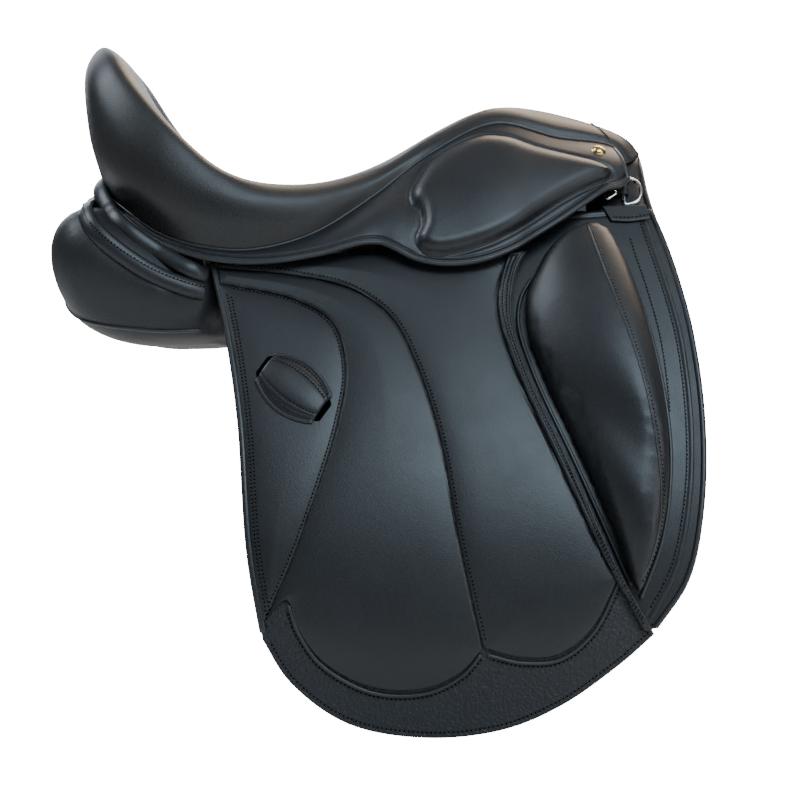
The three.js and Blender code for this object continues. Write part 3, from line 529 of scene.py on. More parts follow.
def tube(line, radius, sides=10, shape=None, flat=1.0, normals=None, taper=0.0):
    """Round or flattened tube along points, with rounded-off ends."""
    shape = shape or Shape()
    p = np.asarray(line, float)
    tangent = unit(np.gradient(p, axis=0))
    if normals is None:
        normals = np.tile([0.0, 0.3, 1.0], (len(p), 1))
    up = square_to(normals, tangent)
    side = np.cross(tangent, up)
    size = np.full(len(p), float(radius))
    if taper:
        far = travelled(p)
        size = radius * quarter(np.minimum(far, far[-1] - far) + 0.02, taper)
    angle = around(sides)
    rings = (p[:, None] + size[:, None, None] * (flat * np.sin(angle)[None, :, None] * up[:, None]
                                                + np.cos(angle)[None, :, None] * side[:, None]))
    shape.grid(rings, wrap=True)
    return shape.lids(rings)


STITCH_SLANT = 0.22


def stitches(line, normals, shape, pitch=3.4, size=0.42):
    """Lockstitch row: slanted thread humps along a line on the surface, and between them a flat near-black
    disc as painted shade of the pricked hole.
    """
    p = np.asarray(line, float)
    reach = travelled(p)
    count = max(int(reach[-1] / pitch), 1)
    where = (np.arange(count) + 0.5) * reach[-1] / count
    centre = read(where, reach, p)
    up = unit(read(where, reach, normals))
    along = square_to(unit(read(where, reach, np.gradient(p, axis=0))), up)
    side = np.cross(along, up)
    along = unit(along + STITCH_SLANT * side)
    side = np.cross(along, up)
    half = pitch * 0.36
    profile = [(-half, 0.25, -0.5), (-half * 0.6, 0.9, 0.25), (half * 0.6, 0.9, 0.25),
               (half, 0.25, -0.5)]
    ring = [(1, 0), (0.5, 0.85), (-0.5, 0.85), (-1, 0), (0, -0.7)]
    verts = []
    for t, r, lift in profile:
        for a, b in ring:
            verts.append(centre + along * t + side * (a * r * size) + up * (b * r * size + lift * size))
    verts = np.stack(verts, axis=1)
    n = len(ring)
    faces = quads(4, n, True) + [tuple(range(n))[::-1], tuple(range(3 * n, 4 * n))]
    for block in verts:
        shape.add(block, faces)
    # Flat disc in the second material between the humps: painted shade of the pricked hole.
    gap = reach[-1] / count / 2
    turn = np.linspace(0, 2 * math.pi, 7)[None, :-1, None]
    spoke = np.cos(turn) * along[:, None] + np.sin(turn) * side[:, None]
    for ring in (centre + along * gap + up * 0.06)[:, None] + spoke * size * 1.75:
        shape.add(ring, [tuple(range(6))], 1)
    return shape


def barrel_row(pairs, depth, count=160):
    """Points and normals of a line given in x and z, laid on the barrel at a depth."""
    p = Line(pairs).along(np.linspace(0, 1, count))
    return on_barrel(p[:, 0], p[:, 2], np.full(count, depth)), barrel_normal(p[:, 0], p[:, 2])


def laid(obj, line, up, lift=0.12):
    """A line dropped along its normals onto a piece and lifted a little off it."""
    tree = tree_of(obj)
    drawn = []
    for p, n in zip(line, up):
        spot = (tree.ray_cast(Vector((p + n * 25) * MM), Vector(-n))[0]
                or tree.find_nearest(Vector(p * MM))[0])
        drawn.append(np.array(spot) / MM + n * lift)
    return np.array(drawn)


def sewn(obj, line, up, shape, pitch=3.4, size=0.42):
    """A row of stitches laid on a piece."""
    return stitches(laid(obj, line, up), up, shape, pitch, size)


def piped(pairs, depth, radius, sides, taper, shape=None, count=160):
    """Round piping laid on the barrel."""
    line, up = barrel_row(pairs, depth, count)
    return tube(line, radius, sides, shape=shape, normals=up, taper=taper)


def inset(pairs, d, start=0.0, end=1.0, count=60):
    """The line moved d mm to the right of its direction in x and z, as pairs."""
    p = Line(pairs).along(np.linspace(start, end, count))[:, [0, 2]]
    step = unit(np.gradient(p, axis=0))
    return p + d * np.column_stack([step[:, 1], -step[:, 0]])


CLOTH_FRAMES = 20


def cushion(obj, voxel, pressure, cap):
    """Stuffs a closed piece: remesh, inflate as cloth, hold within cap of where it was."""
    remesh = obj.modifiers.new("remesh", "REMESH")
    remesh.mode = "VOXEL"
    remesh.voxel_size = voxel * MM
    even = obj.modifiers.new("even", "SMOOTH")
    even.factor = 0.5
    even.iterations = 14
    applied(obj)
    start = np.array([v.co for v in obj.data.vertices])
    cloth = obj.modifiers.new("cloth", "CLOTH")
    cloth.settings.use_pressure = True
    cloth.settings.uniform_pressure_force = pressure
    cloth.settings.effector_weights.gravity = 0
    cloth.settings.quality = 4
    cloth.point_cache.frame_start = 1
    cloth.point_cache.frame_end = CLOTH_FRAMES
    for k in range(1, CLOTH_FRAMES + 1):
        bpy.context.scene.frame_set(k)
    applied(obj)
    bpy.context.scene.frame_set(1)
    end = np.array([v.co for v in obj.data.vertices])
    move = end - start
    far = np.linalg.norm(move, axis=1, keepdims=True)
    limited = start + move * np.minimum(1, cap * MM / np.maximum(far, 1e-9))
    obj.data.vertices.foreach_set("co", limited.ravel())
    smooth = obj.modifiers.new("smooth", "SUBSURF")
    smooth.levels = smooth.render_levels = 1
    return applied(obj)


def twin_of(obj, name):
    """Mirror image of an object in the XZ plane, as a new object."""
    mesh = obj.data.copy()
    co = np.empty(len(mesh.vertices) * 3)
    mesh.vertices.foreach_get("co", co)
    co = co.reshape(-1, 3) * (1, -1, 1)
    mesh.vertices.foreach_set("co", co.ravel())
    mesh.flip_normals()
    return added(name, mesh)


def place(obj, *nodes, body="saddle_body", slot="smooth_leather"):
    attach(obj, body)
    if nodes:
        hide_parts(*nodes)
    return obj


def pair(name, shape, materials, *nodes, body="saddle_body", slot="smooth_leather"):
    """A left-hand piece and its mirror image, each riding on its side's body."""
    made = []
    for side, sign in SIDES:
        obj = build(f"{name}_{side}", shape if sign > 0 else shape.mirrored(), materials)
        place(obj, *[f"{n}_{side}" for n in nodes], body=body.format(side=side), slot=slot)
        made.append(obj)
    return made


def stuffed(name, shape, material, slot, node_name, voxel, pressure, cap):
    """A padded piece, stuffed on the left and mirrored to the right."""
    left = cushion(build(f"{name}_left", shape, [material]), voxel, pressure, cap)
    right = twin_of(left, f"{name}_right")
    for side, obj in (("left", left), ("right", right)):
        place(obj, f"{node_name}_{side}", slot=slot)
    return left


# ---------------------------------------------------------------- seat
# Stations from the cantle forward: welt line, flank, shoulder, rim, lip, dish and centre line
SEAT = [
    [(-238, 0, 136), (-250, 0, 186), (-254, 0, 236), (-241, 0, 254), (-222, 0, 243), (-198, 0, 198),
     (-150, 0, 137)],
    [(-231, 56, 124), (-244, 64, 172), (-243, 68, 217), (-226, 56, 240), (-206, 47, 226),
     (-184, 42, 180), (-132, 0, 132)],
    [(-212, 94, 108), (-225, 105, 146), (-221, 106, 184), (-205, 95, 210), (-186, 83, 193),
     (-162, 62, 148), (-112, 0, 128)],
    [(-180, 116, 86), (-190, 128, 120), (-185, 130, 149), (-171, 121, 171), (-153, 106, 155),
     (-134, 78, 136), (-94, 0, 126)],
    [(-146, 128, 75), (-149, 137, 102), (-145, 137, 124), (-134, 129, 138), (-120, 110, 133),
     (-104, 74, 127), (-74, 0, 126)],
    [(-104, 130, 72), (-105, 137, 96), (-102, 135, 113), (-96, 125, 124), (-88, 105, 127),
     (-76, 68, 126), (-52, 0, 130)],
    [(-56, 119, 85), (-55, 122, 102), (-54, 118, 116), (-50, 106, 126), (-45, 86, 130),
     (-38, 54, 133), (-24, 0, 139)],
    [(-8, 96, 116), (-6, 95, 127), (-4, 89, 136), (-1, 78, 143), (2, 62, 148), (6, 38, 151),
     (12, 0, 155)],
    [(44, 72, 157), (45, 68, 164), (46, 62, 170), (47, 54, 174), (48, 43, 177), (50, 26, 180),
     (52, 0, 182)],
    [(98, 58, 183), (98, 54, 189), (98, 48, 194), (98, 41, 197), (99, 32, 199.5), (99, 19, 202),
     (100, 0, 203)],
    [(150, 53, 172), (151, 50, 179), (151, 45, 184), (152, 38, 188), (153, 29, 191.5),
     (154, 17, 194.5), (156, 0, 196)],
    [(200, 44, 164), (203, 41, 168), (205, 36, 171.5), (207, 30, 174), (209, 22, 175.5),
     (212, 12, 176), (214, 0, 176)],
    [(209, 46, 149), (215, 42, 152), (219, 36, 154.5), (222, 29, 157), (223, 21, 160),
     (224, 12, 162), (224, 0, 163)],
]
SEAT_END = len(SEAT) - 2          # the last station only folds the cover down over the head


def seat_guides():
    """Seven lines along the seat, each carried over the midline so that the cantle is smooth."""
    mirror = np.array([1, -1, 1])
    guides = []
    for k in range(len(SEAT[0])):
        row = np.array([station[k] for station in SEAT], float)
        guides.append(Line([row[2] * mirror, row[1] * mirror, *row]))
    return guides


GUIDES = seat_guides()


def seat_row(station):
    """Line across the seat at a station number, from the left welt to the right one."""
    t = (station + 2) / (len(SEAT) + 1)
    left = np.array([guide.at(t)[0] for guide in GUIDES])
    if station == 0:
        left[:, 1] = 0
    left[-1, 1] = 0
    return Line(np.vstack([left, left[-2::-1] * (1, -1, 1)]))


STATIONS = np.concatenate([np.linspace(0, SEAT_END, 132), np.linspace(SEAT_END, SEAT_END + 1, 9)[1:]])
ROWS = [seat_row(s) for s in STATIONS]
WELT_ROW = np.array([row.at(0)[0] for row in ROWS])
WELT_DOWN = unit(np.array([(row.at(0) - row.at(0.03))[0] for row in ROWS]))
WELT = Line(WELT_ROW)
WELT_FROM = int(len(WELT_ROW) * 0.08)      # past the cantle, where x starts to rise steadily


def welt_at(x):
    """Point of the left welt line at x, and the way down from it."""
    whole = np.arange(len(WELT_ROW))
    k = np.interp(x, WELT_ROW[WELT_FROM:, 0], whole[WELT_FROM:])
    return read(k, whole, WELT_ROW), unit(read(k, whole, WELT_DOWN))


CALMING_PASSES = 30


def calmed(grid, across):
    """Evens out the hollow of the seat along its length; the rim and both ends stay."""
    hollow = np.clip((np.minimum(across, 1 - across) - 0.27) / 0.1, 0, 1)
    row = np.arange(len(grid))
    ends = np.clip(np.minimum(row / 5, row[::-1] / 16), 0, 1)
    share = (ends[:, None] * hollow[None])[1:-1, :, None]
    for _ in range(CALMING_PASSES):
        even = (grid[:-2] + 2 * grid[1:-1] + grid[2:]) / 4
        grid[1:-1] += share * (even - grid[1:-1])
    return grid


def seat():
    across = eased(96, 0.5)
    grid = calmed(np.array([row.at(across) for row in ROWS]), across)
    obj = build("seat_leather", Shape().grid(grid), [SEATING], weld=0.05)
    crown = [f for f in obj.data.polygons if abs(f.center.y) < 0.01 and 0.02 < f.center.x < 0.12]
    if sum(f.normal.z for f in crown) < 0:
        obj.data.flip_normals()
    surface = tree_of(obj)
    thick = obj.modifiers.new("thick", "SOLIDIFY")
    thick.thickness = 2 * MM
    thick.offset = -1
    applied(obj)
    place(obj, "seat_cover")

    welt = WELT_ROW[4:] + WELT_DOWN[4:] * 0.9
    out = unit(np.cross(np.gradient(welt, axis=0), WELT_DOWN[4:]))
    out *= np.sign(out[:, 1:2])
    piping = tube(welt - out * 0.3, 1.35, 10, taper=3)
    pair("seat_piping", piping, [PIPING], "seat_welt")
    head = np.array([seat_row(SEAT_END - 0.06 - 0.5 * math.sin(math.pi * s)).at(s)[0]
                     for s in np.linspace(0, 1, 101)])
    ridge = build("head_seam", tube(head, 0.8, 8, taper=2), [PIPING])
    place(ridge)
    return surface


# ---------------------------------------------------------------- skirts
HEM = Line([(-214, 97, 101), (-194, 114, 85), (-172, 126, 74), (-143, 134, 65), (-111, 137, 61),
            (-82, 138, 62), (-47, 136, 68), (-13, 133, 77), (2, 132, 77), (14, 135, 72),
            (30, 138, 64), (48, 140, 60), (67, 140, 60), (88, 138, 64), (110, 131, 73),
            (128, 120, 84), (147, 110, 96), (173, 95, 114), (190, 84, 125), (203, 77, 129), (210, 70, 136)])
PAD = [(27, 118), (32, 130), (43, 146), (67, 162), (86, 169), (108, 168), (131, 160), (166, 151),
       (184, 146), (193, 140), (190, 134), (180, 129), (165, 122), (146, 111), (121, 94),
       (100, 82), (83, 75), (57, 68), (42, 68), (34, 73), (32, 81), (36, 92), (34, 104), (28, 111)]


def skirt_surface(us, vs):
    top_x = -210 + 410 * us
    hem_x = -213 + 422 * us
    top, down = welt_at(top_x)
    top = top + down * 1.5
    t = np.linspace(0, 1, 800)
    hem = HEM.at(np.interp(hem_x, HEM.at(t)[:, 0], t))
    v = vs[:, None, None]
    reach = np.linalg.norm(top - hem, axis=1)
    swell = 7 * np.sin(math.pi * vs)[:, None] * np.minimum(1, reach / 60)[None]
    return (1 - v) * top[None] + v * hem[None] + swell[..., None] * np.array([0.1, 0.75, 0.6])


def outward(grid):
    """Normals of a grid on the left of the saddle, pointing out and up."""
    n = unit(np.cross(np.gradient(grid, axis=0), np.gradient(grid, axis=1)))
    return n * np.sign((n * np.array((0, 1, 0.4))).sum(-1, keepdims=True))


def skirts():
    us, vs = eased(260, 0.5), eased(80, 0.8)
    base = skirt_surface(us, vs)
    n = outward(base)
    ring = Line(PAD, closed=True).along(np.linspace(0, 1, 360))[:, [0, 2]]
    x, z = base[..., 0], base[..., 2]
    d = nearest(x, z, ring) * np.where(inside(x, z, ring), 1, -1)
    body = 8.6 * quarter(np.maximum(d - 0.6, 0), (16 - 8 * vs)[:, None])
    fold = 0.8 * dent(d, 0.4, 1.6) - 1.1 * dent(d, -2.0, 1.5)
    drop = np.linalg.norm(base - base[-1:], axis=-1)
    hem = -1.0 * dent(drop, 4.8, 0.9) + 0.9 * dent(drop, 1.6, 2.0)
    outer = base + n * (body + fold + hem)[..., None]
    inner = base - n * 2.6
    shape = slab(outer, inner, FIRST_ROW, LAST_ROW, FIRST_COLUMN, LAST_COLUMN)
    made = pair("skirt_leather", shape, [SMOOTH], "skirt", "skirt_pad")
    rim = np.vstack([base[-1], base[::-1, -1][1:-3]]) - np.vstack([n[-1], n[::-1, -1][1:-3]]) * 0.9
    pair("skirt_piping", tube(rim, 2.2, 10, taper=3), [PIPING])
    return made[0]


# ---------------------------------------------------------------- flaps
TOE = (212, -230)
HEEL = (-87, -234)
FLAP_REAR = [(-137, 56), (-122, 0), (-109, -70), (-99, -170), HEEL]
FLAP_FRONT = [(121, 66), (113, 48), (109, 10), (120, -30), (152, -103), (186, -182), TOE]
FLAP = {
    "top": [(-137, 56), (-60, 62), (0, 66), (121, 66)],
    "rear": FLAP_REAR,
    "bottom": [HEEL, (-66, -266), (-23, -297), (36, -308), (96, -302), (140, -284), (181, -256), TOE],
    "front": FLAP_FRONT,
}
SEAM_A = [(-128, 38), (-66, 24), (-36, 5), (-25, -30), (-30, -70), (-48, -130), (-66, -178), (-84, -218)]
SEAM_B = [(-131, 50), (-66, 43), (-22, 32), (10, 9), (31, -31), (48, -84), (62, -160), (80, -240)]
HEM_MIDDLE = [(-81, -221), (-66, -207), (-58, -228), (-40, -252), (-2, -272), (38, -272),
              (64, -259), (78, -243)]
HEM_FRONT = [(84, -243), (110, -249), (138, -247), (163, -228), (184, -190)]
BORDER_IN = [(106, 62), (99, 40), (97, 12), (108, -28), (140, -101), (176, -178), (203, -227)]
BORDER_OUT = [(118, 63), (110, 46), (106, 10), (117, -31), (149, -104), (183, -183), (209, -228)]


def moved(pairs, dx, dz):
    return [(x + dx, z + dz) for x, z in pairs]


def short(a, b):
    return [a, ((a[0] + b[0]) / 2, (a[1] + b[1]) / 2), b]


def puffed(swell, reach):
    """Panel face that swells up softly from its seams."""
    return lambda x, z, d: swell * (1 - np.exp(-d / reach))


def panel_edges(rear, front, bottom=None):
    return {"rear": rear, "front": front, "top": short(rear[0], front[0]),
            "bottom": bottom or short(rear[-1], front[-1])}


def flap_piece(name, shape, materials, *nodes):
    """Leather on the flap, built for both sides; its CAD nodes are hidden and its transform is baked into
    the mesh.
    """
    made = []
    for side, sign in SIDES:
        obj = build(f"{name}_{side}", shape if sign > 0 else shape.mirrored(), materials)
        if nodes:
            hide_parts(*[f"{n}_{side}" for n in nodes])
        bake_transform(obj)
        made.append(obj)
    return made


def flaps():
    base = leather_sheet(FLAP, 8, 10, 90, 110, rim=1.4, form=grooved((-0.3, 4, 1.0)))
    base = flap_piece("flap_leather", base, [GRAINED], "flap")[0]
    side_a, side_b = moved(SEAM_A, -0.9, -0.8), moved(SEAM_B, 1.0, 1.0)
    rear = panel_edges([(-130, 36), (-118, -4), (-106, -70), (-96, -165), (-86.5, -221)], side_a)
    middle = panel_edges(SEAM_A, SEAM_B, HEM_MIDDLE)
    front = panel_edges(side_b, [(-133, 54), (-60, 59), (20, 63), (104, 62), (97.6, 40), (95.6, 12),
                                 (106.6, -28), (138.6, -101), (174, -176), (184, -190)], HEM_FRONT)
    faces = []
    for name, edges, count, swell, reach in (("rear", rear, 50, 2.8, 9), ("middle", middle, 64, 2.6, 14),
                                             ("front", front, 74, 2.6, 12)):
        sheet = leather_sheet(edges, 10, 12.4, count, 120, 2.6, puffed(swell, reach))
        faces += flap_piece(f"{name}_panel", sheet, [SMOOTH], f"flap_{name}_panel")[:1]
    rear, _, front = faces
    border = leather_sheet(panel_edges(BORDER_IN, BORDER_OUT), 10, 16.0, 24, 130, rim=2.6,
                           form=grooved((-0.9, 3.0, 0.9)))
    border = flap_piece("border", border, [SMOOTH], "flap_border")[0]

    edge = Line(FLAP_REAR).along(np.linspace(0, 0.985, 160))
    binding = on_barrel(edge[:, 0] + 1.6, edge[:, 2], np.full(160, 9.8))
    trim = tube(binding, 2.9, 12, normals=barrel_normal(edge[:, 0], edge[:, 2]), flat=0.95, taper=3)
    piped(BORDER_OUT, 12.6, 1.5, 10, 2, trim)
    flap_piece("edge_binding", trim, [PIPING])
    hems = Shape()
    for pairs in (HEM_MIDDLE[1:], HEM_FRONT):
        piped(inset(pairs, 1.5), 11.0, 1.5, 10, 1.5, hems, 120)
    flap_piece("hem_piping", hems, [PIPING])

    rows = Shape()
    for on, pairs, d, a, b, pitch in (
            (rear, FLAP_REAR, -6.6, 0.1, 0.95, 3.1), (rear, FLAP_REAR, -9.4, 0.11, 0.94, 3.1),
            (rear, side_a, 2.2, 0.03, 0.97, 3.2), (front, side_b, -2.2, 0.03, 0.985, 3.2),
            (border, BORDER_IN, -3.0, 0.02, 0.97, 3.1), (border, BORDER_OUT, 3.0, 0.02, 0.97, 3.1),
            (base, HEM_MIDDLE[1:], 4.6, 0.02, 0.98, 3.4), (base, HEM_FRONT, 4.6, 0.02, 0.98, 3.4),
            (base, FLAP["bottom"], -4.0, 0.01, 0.99, 3.4)):
        sewn(on, *barrel_row(inset(pairs, d, a, b, 120), 14, 240), rows, pitch)
    flap_piece("flap_stitches", rows, [THREAD, HOLE_SHADE])
    return rear


KEEPER_AT = (-66, -48)
KEEPER_TURN = math.radians(-36)


def keeper_surface(a, b, rise):
    """a runs along the loop and b across it, from -1 to 1, rise above the flap's panel."""
    wide = 11 + 9.5 * np.sin(math.pi * np.clip(a, 0, 1)) ** 0.75
    along, across = (a - 0.5) * 56, b * wide
    c, s = math.cos(KEEPER_TURN), math.sin(KEEPER_TURN)
    x = KEEPER_AT[0] + along * c - across * s
    z = KEEPER_AT[1] + along * s + across * c
    return on_barrel(x, z, 14.6 + rise), barrel_normal(x, z)


def keeper(panel):
    """Stirrup-leather loop: it arches over the panel, its ends pass down through two slots, drawn as flat
    near-black sheets of painted shade on the panel.
    """
    a, b = np.meshgrid(eased(56, 0.4), np.linspace(-1, 1, 65), indexing="ij")
    lift = 5.6 * (1 - np.abs(b) ** 2.4) * (1 - 0.4 * np.abs(2 * a - 1) ** 3)
    ends = quarter(np.minimum(a, 1 - a) * 56, 1.6)
    seam = -0.45 * (dent(np.abs(b), 0.82, 0.04) + dent(np.abs(b), 0.55, 0.04))
    outer, _ = keeper_surface(a, b, lift + 1.3 * ends + seam)
    inner, _ = keeper_surface(a, b, lift - 1.3 * ends)
    loop = pair("keeper", slab(outer, inner), [SMOOTH], "keeper_loop", body="{side}_flap")[0]
    rims, rows, slots = Shape(), Shape(), Shape()
    for sign in (-1, 1):
        line, up = keeper_surface(np.linspace(0.0, 1, 70), np.full(70, sign * 1.0), 0.8)
        tube(line, 1.8, 12, shape=rims, normals=up, taper=2)
        for share in (0.82, 0.55):
            row = keeper_surface(np.linspace(0.06, 0.94, 60), np.full(60, sign * share), 10)
            sewn(loop, *row, rows, pitch=2.7, size=0.38)
    # Slots: flat sheets laid just over the panel in the near-black material, painted shade of the openings.
    for a0, a1 in ((-0.065, 0.04), (0.96, 1.065)):
        t, b = np.meshgrid(np.linspace(0, 1, 9), np.linspace(-1, 1, 25), indexing="ij")
        far = t if a0 < 0 else 1 - t
        reach = a0 + (a1 - a0) * t
        points, up = keeper_surface(reach, b * 0.98 * np.sqrt(1 - (1 - far) ** 2 * 0.55), 6)
        flat, up = points.reshape(-1, 3), up.reshape(-1, 3)
        slots.grid(laid(panel, flat, up, 0.25).reshape(points.shape))
    for name, shape, materials in (("rim", rims, [PIPING]), ("slots", slots, [HOLE_SHADE]),
                                   ("stitches", rows, [THREAD, HOLE_SHADE])):
        pair(f"keeper_{name}", shape, materials, body="{side}_flap")


# ---------------------------------------------------------------- under-flap, sweat flap
UNDER_FRONT = [(221, 109), (229, 76), (237, 46), (246, 2), (250, -60), (247, -120), (234, -180),
               (212, -222)]
UNDER = {
    "top": [(-112, 46), (0, 50), (70, 63), (110, 84), (150, 103), (178, 107), (221, 109)],
    "rear": [(-112, 46), (-100, -20), (-91, -100), (-83, -180), (-72, -214)],
    "bottom": [(-72, -214), (-30, -268), (30, -286), (95, -279), (150, -252), (212, -222)],
    "front": UNDER_FRONT,
}
SWEAT_FRONT = [(226, 112), (235, 87), (245, 50), (253, 8), (258, -60), (254, -132), (241, -188),
               (215, -227)]
SWEAT = {
    "top": [(-108, 40), (0, 44), (70, 62), (110, 84), (150, 103), (186, 111), (226, 112)],
    "rear": [(-108, 40), (-96, -20), (-87, -100), (-80, -180), (-68, -218)],
    "bottom": [(-68, -218), (-30, -274), (30, -292), (95, -285), (152, -256), (215, -227)],
    "front": SWEAT_FRONT,
}
# Leather that holds the flaps to the head, just under the skirt's front corner
TAB = panel_edges([(186, 110), (190, 102), (193, 97)], [(223, 111), (225, 104), (226, 99)],
                  [(193, 97), (208, 96.5), (226, 99)])


def under_flaps():
    under = leather_sheet(UNDER, -4.8, -1.2, 80, 100, rim=1.8,
                          form=grooved((-0.6, 5, 0.9), (0.5, 2, 2)))
    under = pair("under_flap_leather", under, [SMOOTH], "under_flap")[0]
    sweat = leather_sheet(SWEAT, -8.4, -5.6, 70, 90, rim=1.4)
    sweat = pair("sweat_flap_leather", sweat, [LINING], "sweat_flap")[0]
    pair("sweat_flap_binding", piped(SWEAT_FRONT, -6.8, 2.7, 12, 3), [PIPING])
    rows = Shape()
    for on, pairs, d, a, b in ((under, UNDER_FRONT, 6.5, 0.02, 0.97), (under, UNDER_FRONT, 19, 0.06, 0.5),
                               (under, UNDER["rear"], -4, 0.02, 0.98),
                               (under, UNDER["bottom"], -4, 0.01, 0.99),
                               (sweat, SWEAT["rear"], -4, 0, 1), (sweat, SWEAT["bottom"], -3, 0, 1)):
        sewn(on, *barrel_row(inset(pairs, d, a, b, 120), 0, 240), rows)
    tab = leather_sheet(TAB, -1.0, 1.4, 30, 20, rim=0.9)
    tab = pair("head_tab", tab, [SMOOTH])[0]
    sewn(tab, *barrel_row([(194, 100), (208, 99.5), (224, 102)], 0, 60), rows, pitch=3.2)
    pair("under_flap_stitches", rows, [THREAD, HOLE_SHADE])


# ---------------------------------------------------------------- knee blocks
BLOCK = {
    "top": [(125, 48), (135, 64), (152, 79), (172, 87), (187, 85), (195, 76)],
    "rear": [(125, 48), (116, 32), (113, 10), (124, -30), (156, -103), (196, -194)],
    "bottom": [(196, -194), (199.5, -199), (203, -204)],
    "front": [(195, 76), (204, 56), (213, 28), (221, -5), (228, -50), (230, -98), (222, -155),
              (203, -204)],
}
BLOCK_SEAM = [(171, 80), (175, 62), (182, 34), (193, -4), (207, -58), (215, -110), (215, -144),
              (207, -176), (200, -190)]


def block_rise(u, v):
    """Height of a knee block: long slope behind, short one in front, a hollow for the thigh."""
    rear = np.sin(math.pi / 2 * np.clip(u / 0.7, 0, 1)) ** 0.9
    front = np.clip(1 - np.clip((u - 0.7) / 0.3, 0, 1) ** 2.2, 0, 1) ** 0.6
    across = np.minimum(rear, front)
    along = np.clip(np.sin(math.pi * (0.05 + 0.93 * v)), 0, 1) ** 0.5
    hollow = np.exp(-((v - 0.42 - 0.33 * u) / 0.12) ** 2) * np.sin(math.pi * np.clip(u / 0.88, 0, 1))
    return 37 * across * along * (1 - 0.26 * hollow)


def knee_blocks():
    us, vs = np.linspace(0, 1, 41), np.linspace(0, 1, 91)
    x, z = coons(BLOCK, us, vs)
    u, v = np.meshgrid(us, vs)
    base = -0.8
    outer = on_barrel(x, z, base + 6.5 + 0.84 * block_rise(u, v))
    inner = on_barrel(x, z, np.full(x.shape, base))
    shape = slab(outer, inner, FIRST_ROW, LAST_ROW, FIRST_COLUMN, LAST_COLUMN)
    left = stuffed("knee_block_cover", shape, SMOOTH, "smooth_leather", "knee_block",
                   voxel=4.5, pressure=4, cap=4)
    row = Line(BLOCK_SEAM).along(np.linspace(0, 1, 170))
    up = barrel_normal(row[:, 0], row[:, 2])
    line = laid(left, on_barrel(row[:, 0], row[:, 2], np.full(170, 30.0)), up, 0.0)
    settled(line, 12)
    side = unit(np.cross(np.gradient(line, axis=0), up))
    seam = sewn(left, line + side * 2.2, up, Shape(), size=0.34)
    tube(line + up * 0.05, 0.8, 8, shape=seam, normals=up, taper=2)
    pair("knee_block_seam", seam, [PIPING, HOLE_SHADE])
    foot = Shape()
    for key in ("rear", "front"):
        piped(BLOCK[key], 0.6, 1.7, 8, 2, foot)
    pair("knee_block_piping", foot, [PIPING])


# ---------------------------------------------------------------- panels
# Sections from the back forward: x, centre in y and z, half width, half height, tilt in degrees
PANEL = [
    (-271.2, 90, 70, 2, 3, 8),
    (-270, 90, 70, 12, 15, 8),
    (-266, 90, 69, 24, 25, 8),
    (-259, 90, 66, 37, 36, 8),
    (-246, 90, 62, 50, 48, 8),
    (-224, 90, 55, 54, 53, 8),
    (-200, 90, 45, 54, 49, 8),
    (-172, 90, 34, 55, 38, 8),
    (-142, 88, 28, 52, 31, 10),
    (-122, 78, 26, 44, 29, 10),
    (-80, 78, 25, 45, 27, 14),
    (-30, 80, 30, 47, 26, 24),
    (20, 80, 40, 48, 23, 36),
    (70, 78, 54, 48, 20, 46),
    (115, 74, 62, 46, 18, 52),
    (150, 70, 62, 44, 15, 56),
    (185, 70, 60, 40, 13, 56),
    (206, 72, 60, 30, 8, 56),
]


def panels():
    """Wool-stuffed cushions that bear on the horse's back, one each side of the gullet."""
    rows = np.array(PANEL, float)
    at = np.linspace(0, len(rows) - 1, 130)
    where, half = [Line(part).at(at / (len(rows) - 1)) for part in (rows[:, :3], rows[:, 3:])]
    angle = around(60)
    c, s = np.cos(angle), np.sin(angle)
    c, s = np.sign(c) * np.abs(c) ** 0.85, np.sign(s) * np.abs(s) ** 0.85
    rings = []
    for (x, cy, cz), (a, b, tilt) in zip(where, half):
        tilt = math.radians(tilt)
        y = cy + a * c * math.cos(tilt) + b * s * math.sin(tilt)
        z = cz - a * c * math.sin(tilt) + b * s * math.cos(tilt)
        if x > -135:
            blend = np.clip((x - 100) / 24, 0, 1)
            limit = (1 - blend) * -9.4 + blend * -31
            bound = barrel_y(np.full(60, x), z) + limit / barrel_normal(np.full(60, x), z)[:, 1]
            ease = np.clip((x + 135) / 18, 0, 1)
            y = np.where(y > bound, bound * ease + y * (1 - ease), y)
        rings.append(np.column_stack([np.full(60, x), y, z]))
    shape = Shape().grid(np.array(rings), wrap=True).lids(rings)
    return stuffed("panel_cushion", shape, LINING, "panel_leather", "panel",
                   voxel=5, pressure=3, cap=3.5)


# Rear bands under the cantle, from the back's midline forward to the flap's corner
BAND_LOW = [(-238, 0, 118), (-240, 30, 118), (-243, 56, 115), (-242, 79, 107), (-232, 101, 89),
            (-211, 121, 70), (-181, 134, 51), (-156, 139, 41), (-141, 133, 37)]
BAND_HIGH = [(-232, 0, 136), (-233, 30, 136), (-236, 54, 131), (-233, 75, 121), (-220, 97, 102),
             (-199, 116, 83), (-171, 130, 65), (-150, 136, 54), (-140, 129, 50)]


def pushed_out(panel, line, reach):
    """Moves a line sideways until it lies on a piece, reach above its surface, then smooths it."""
    tree = tree_of(panel)
    line = line.copy()
    for p in line:
        spot = tree.ray_cast(Vector((p[0], 300, p[2])) * MM, Vector((0, -1, 0)))[0]
        if spot and p[1] > 60:
            p[1] = max(p[1], spot[1] / MM + reach)
    settled(line[:, 1], 10)
    return line


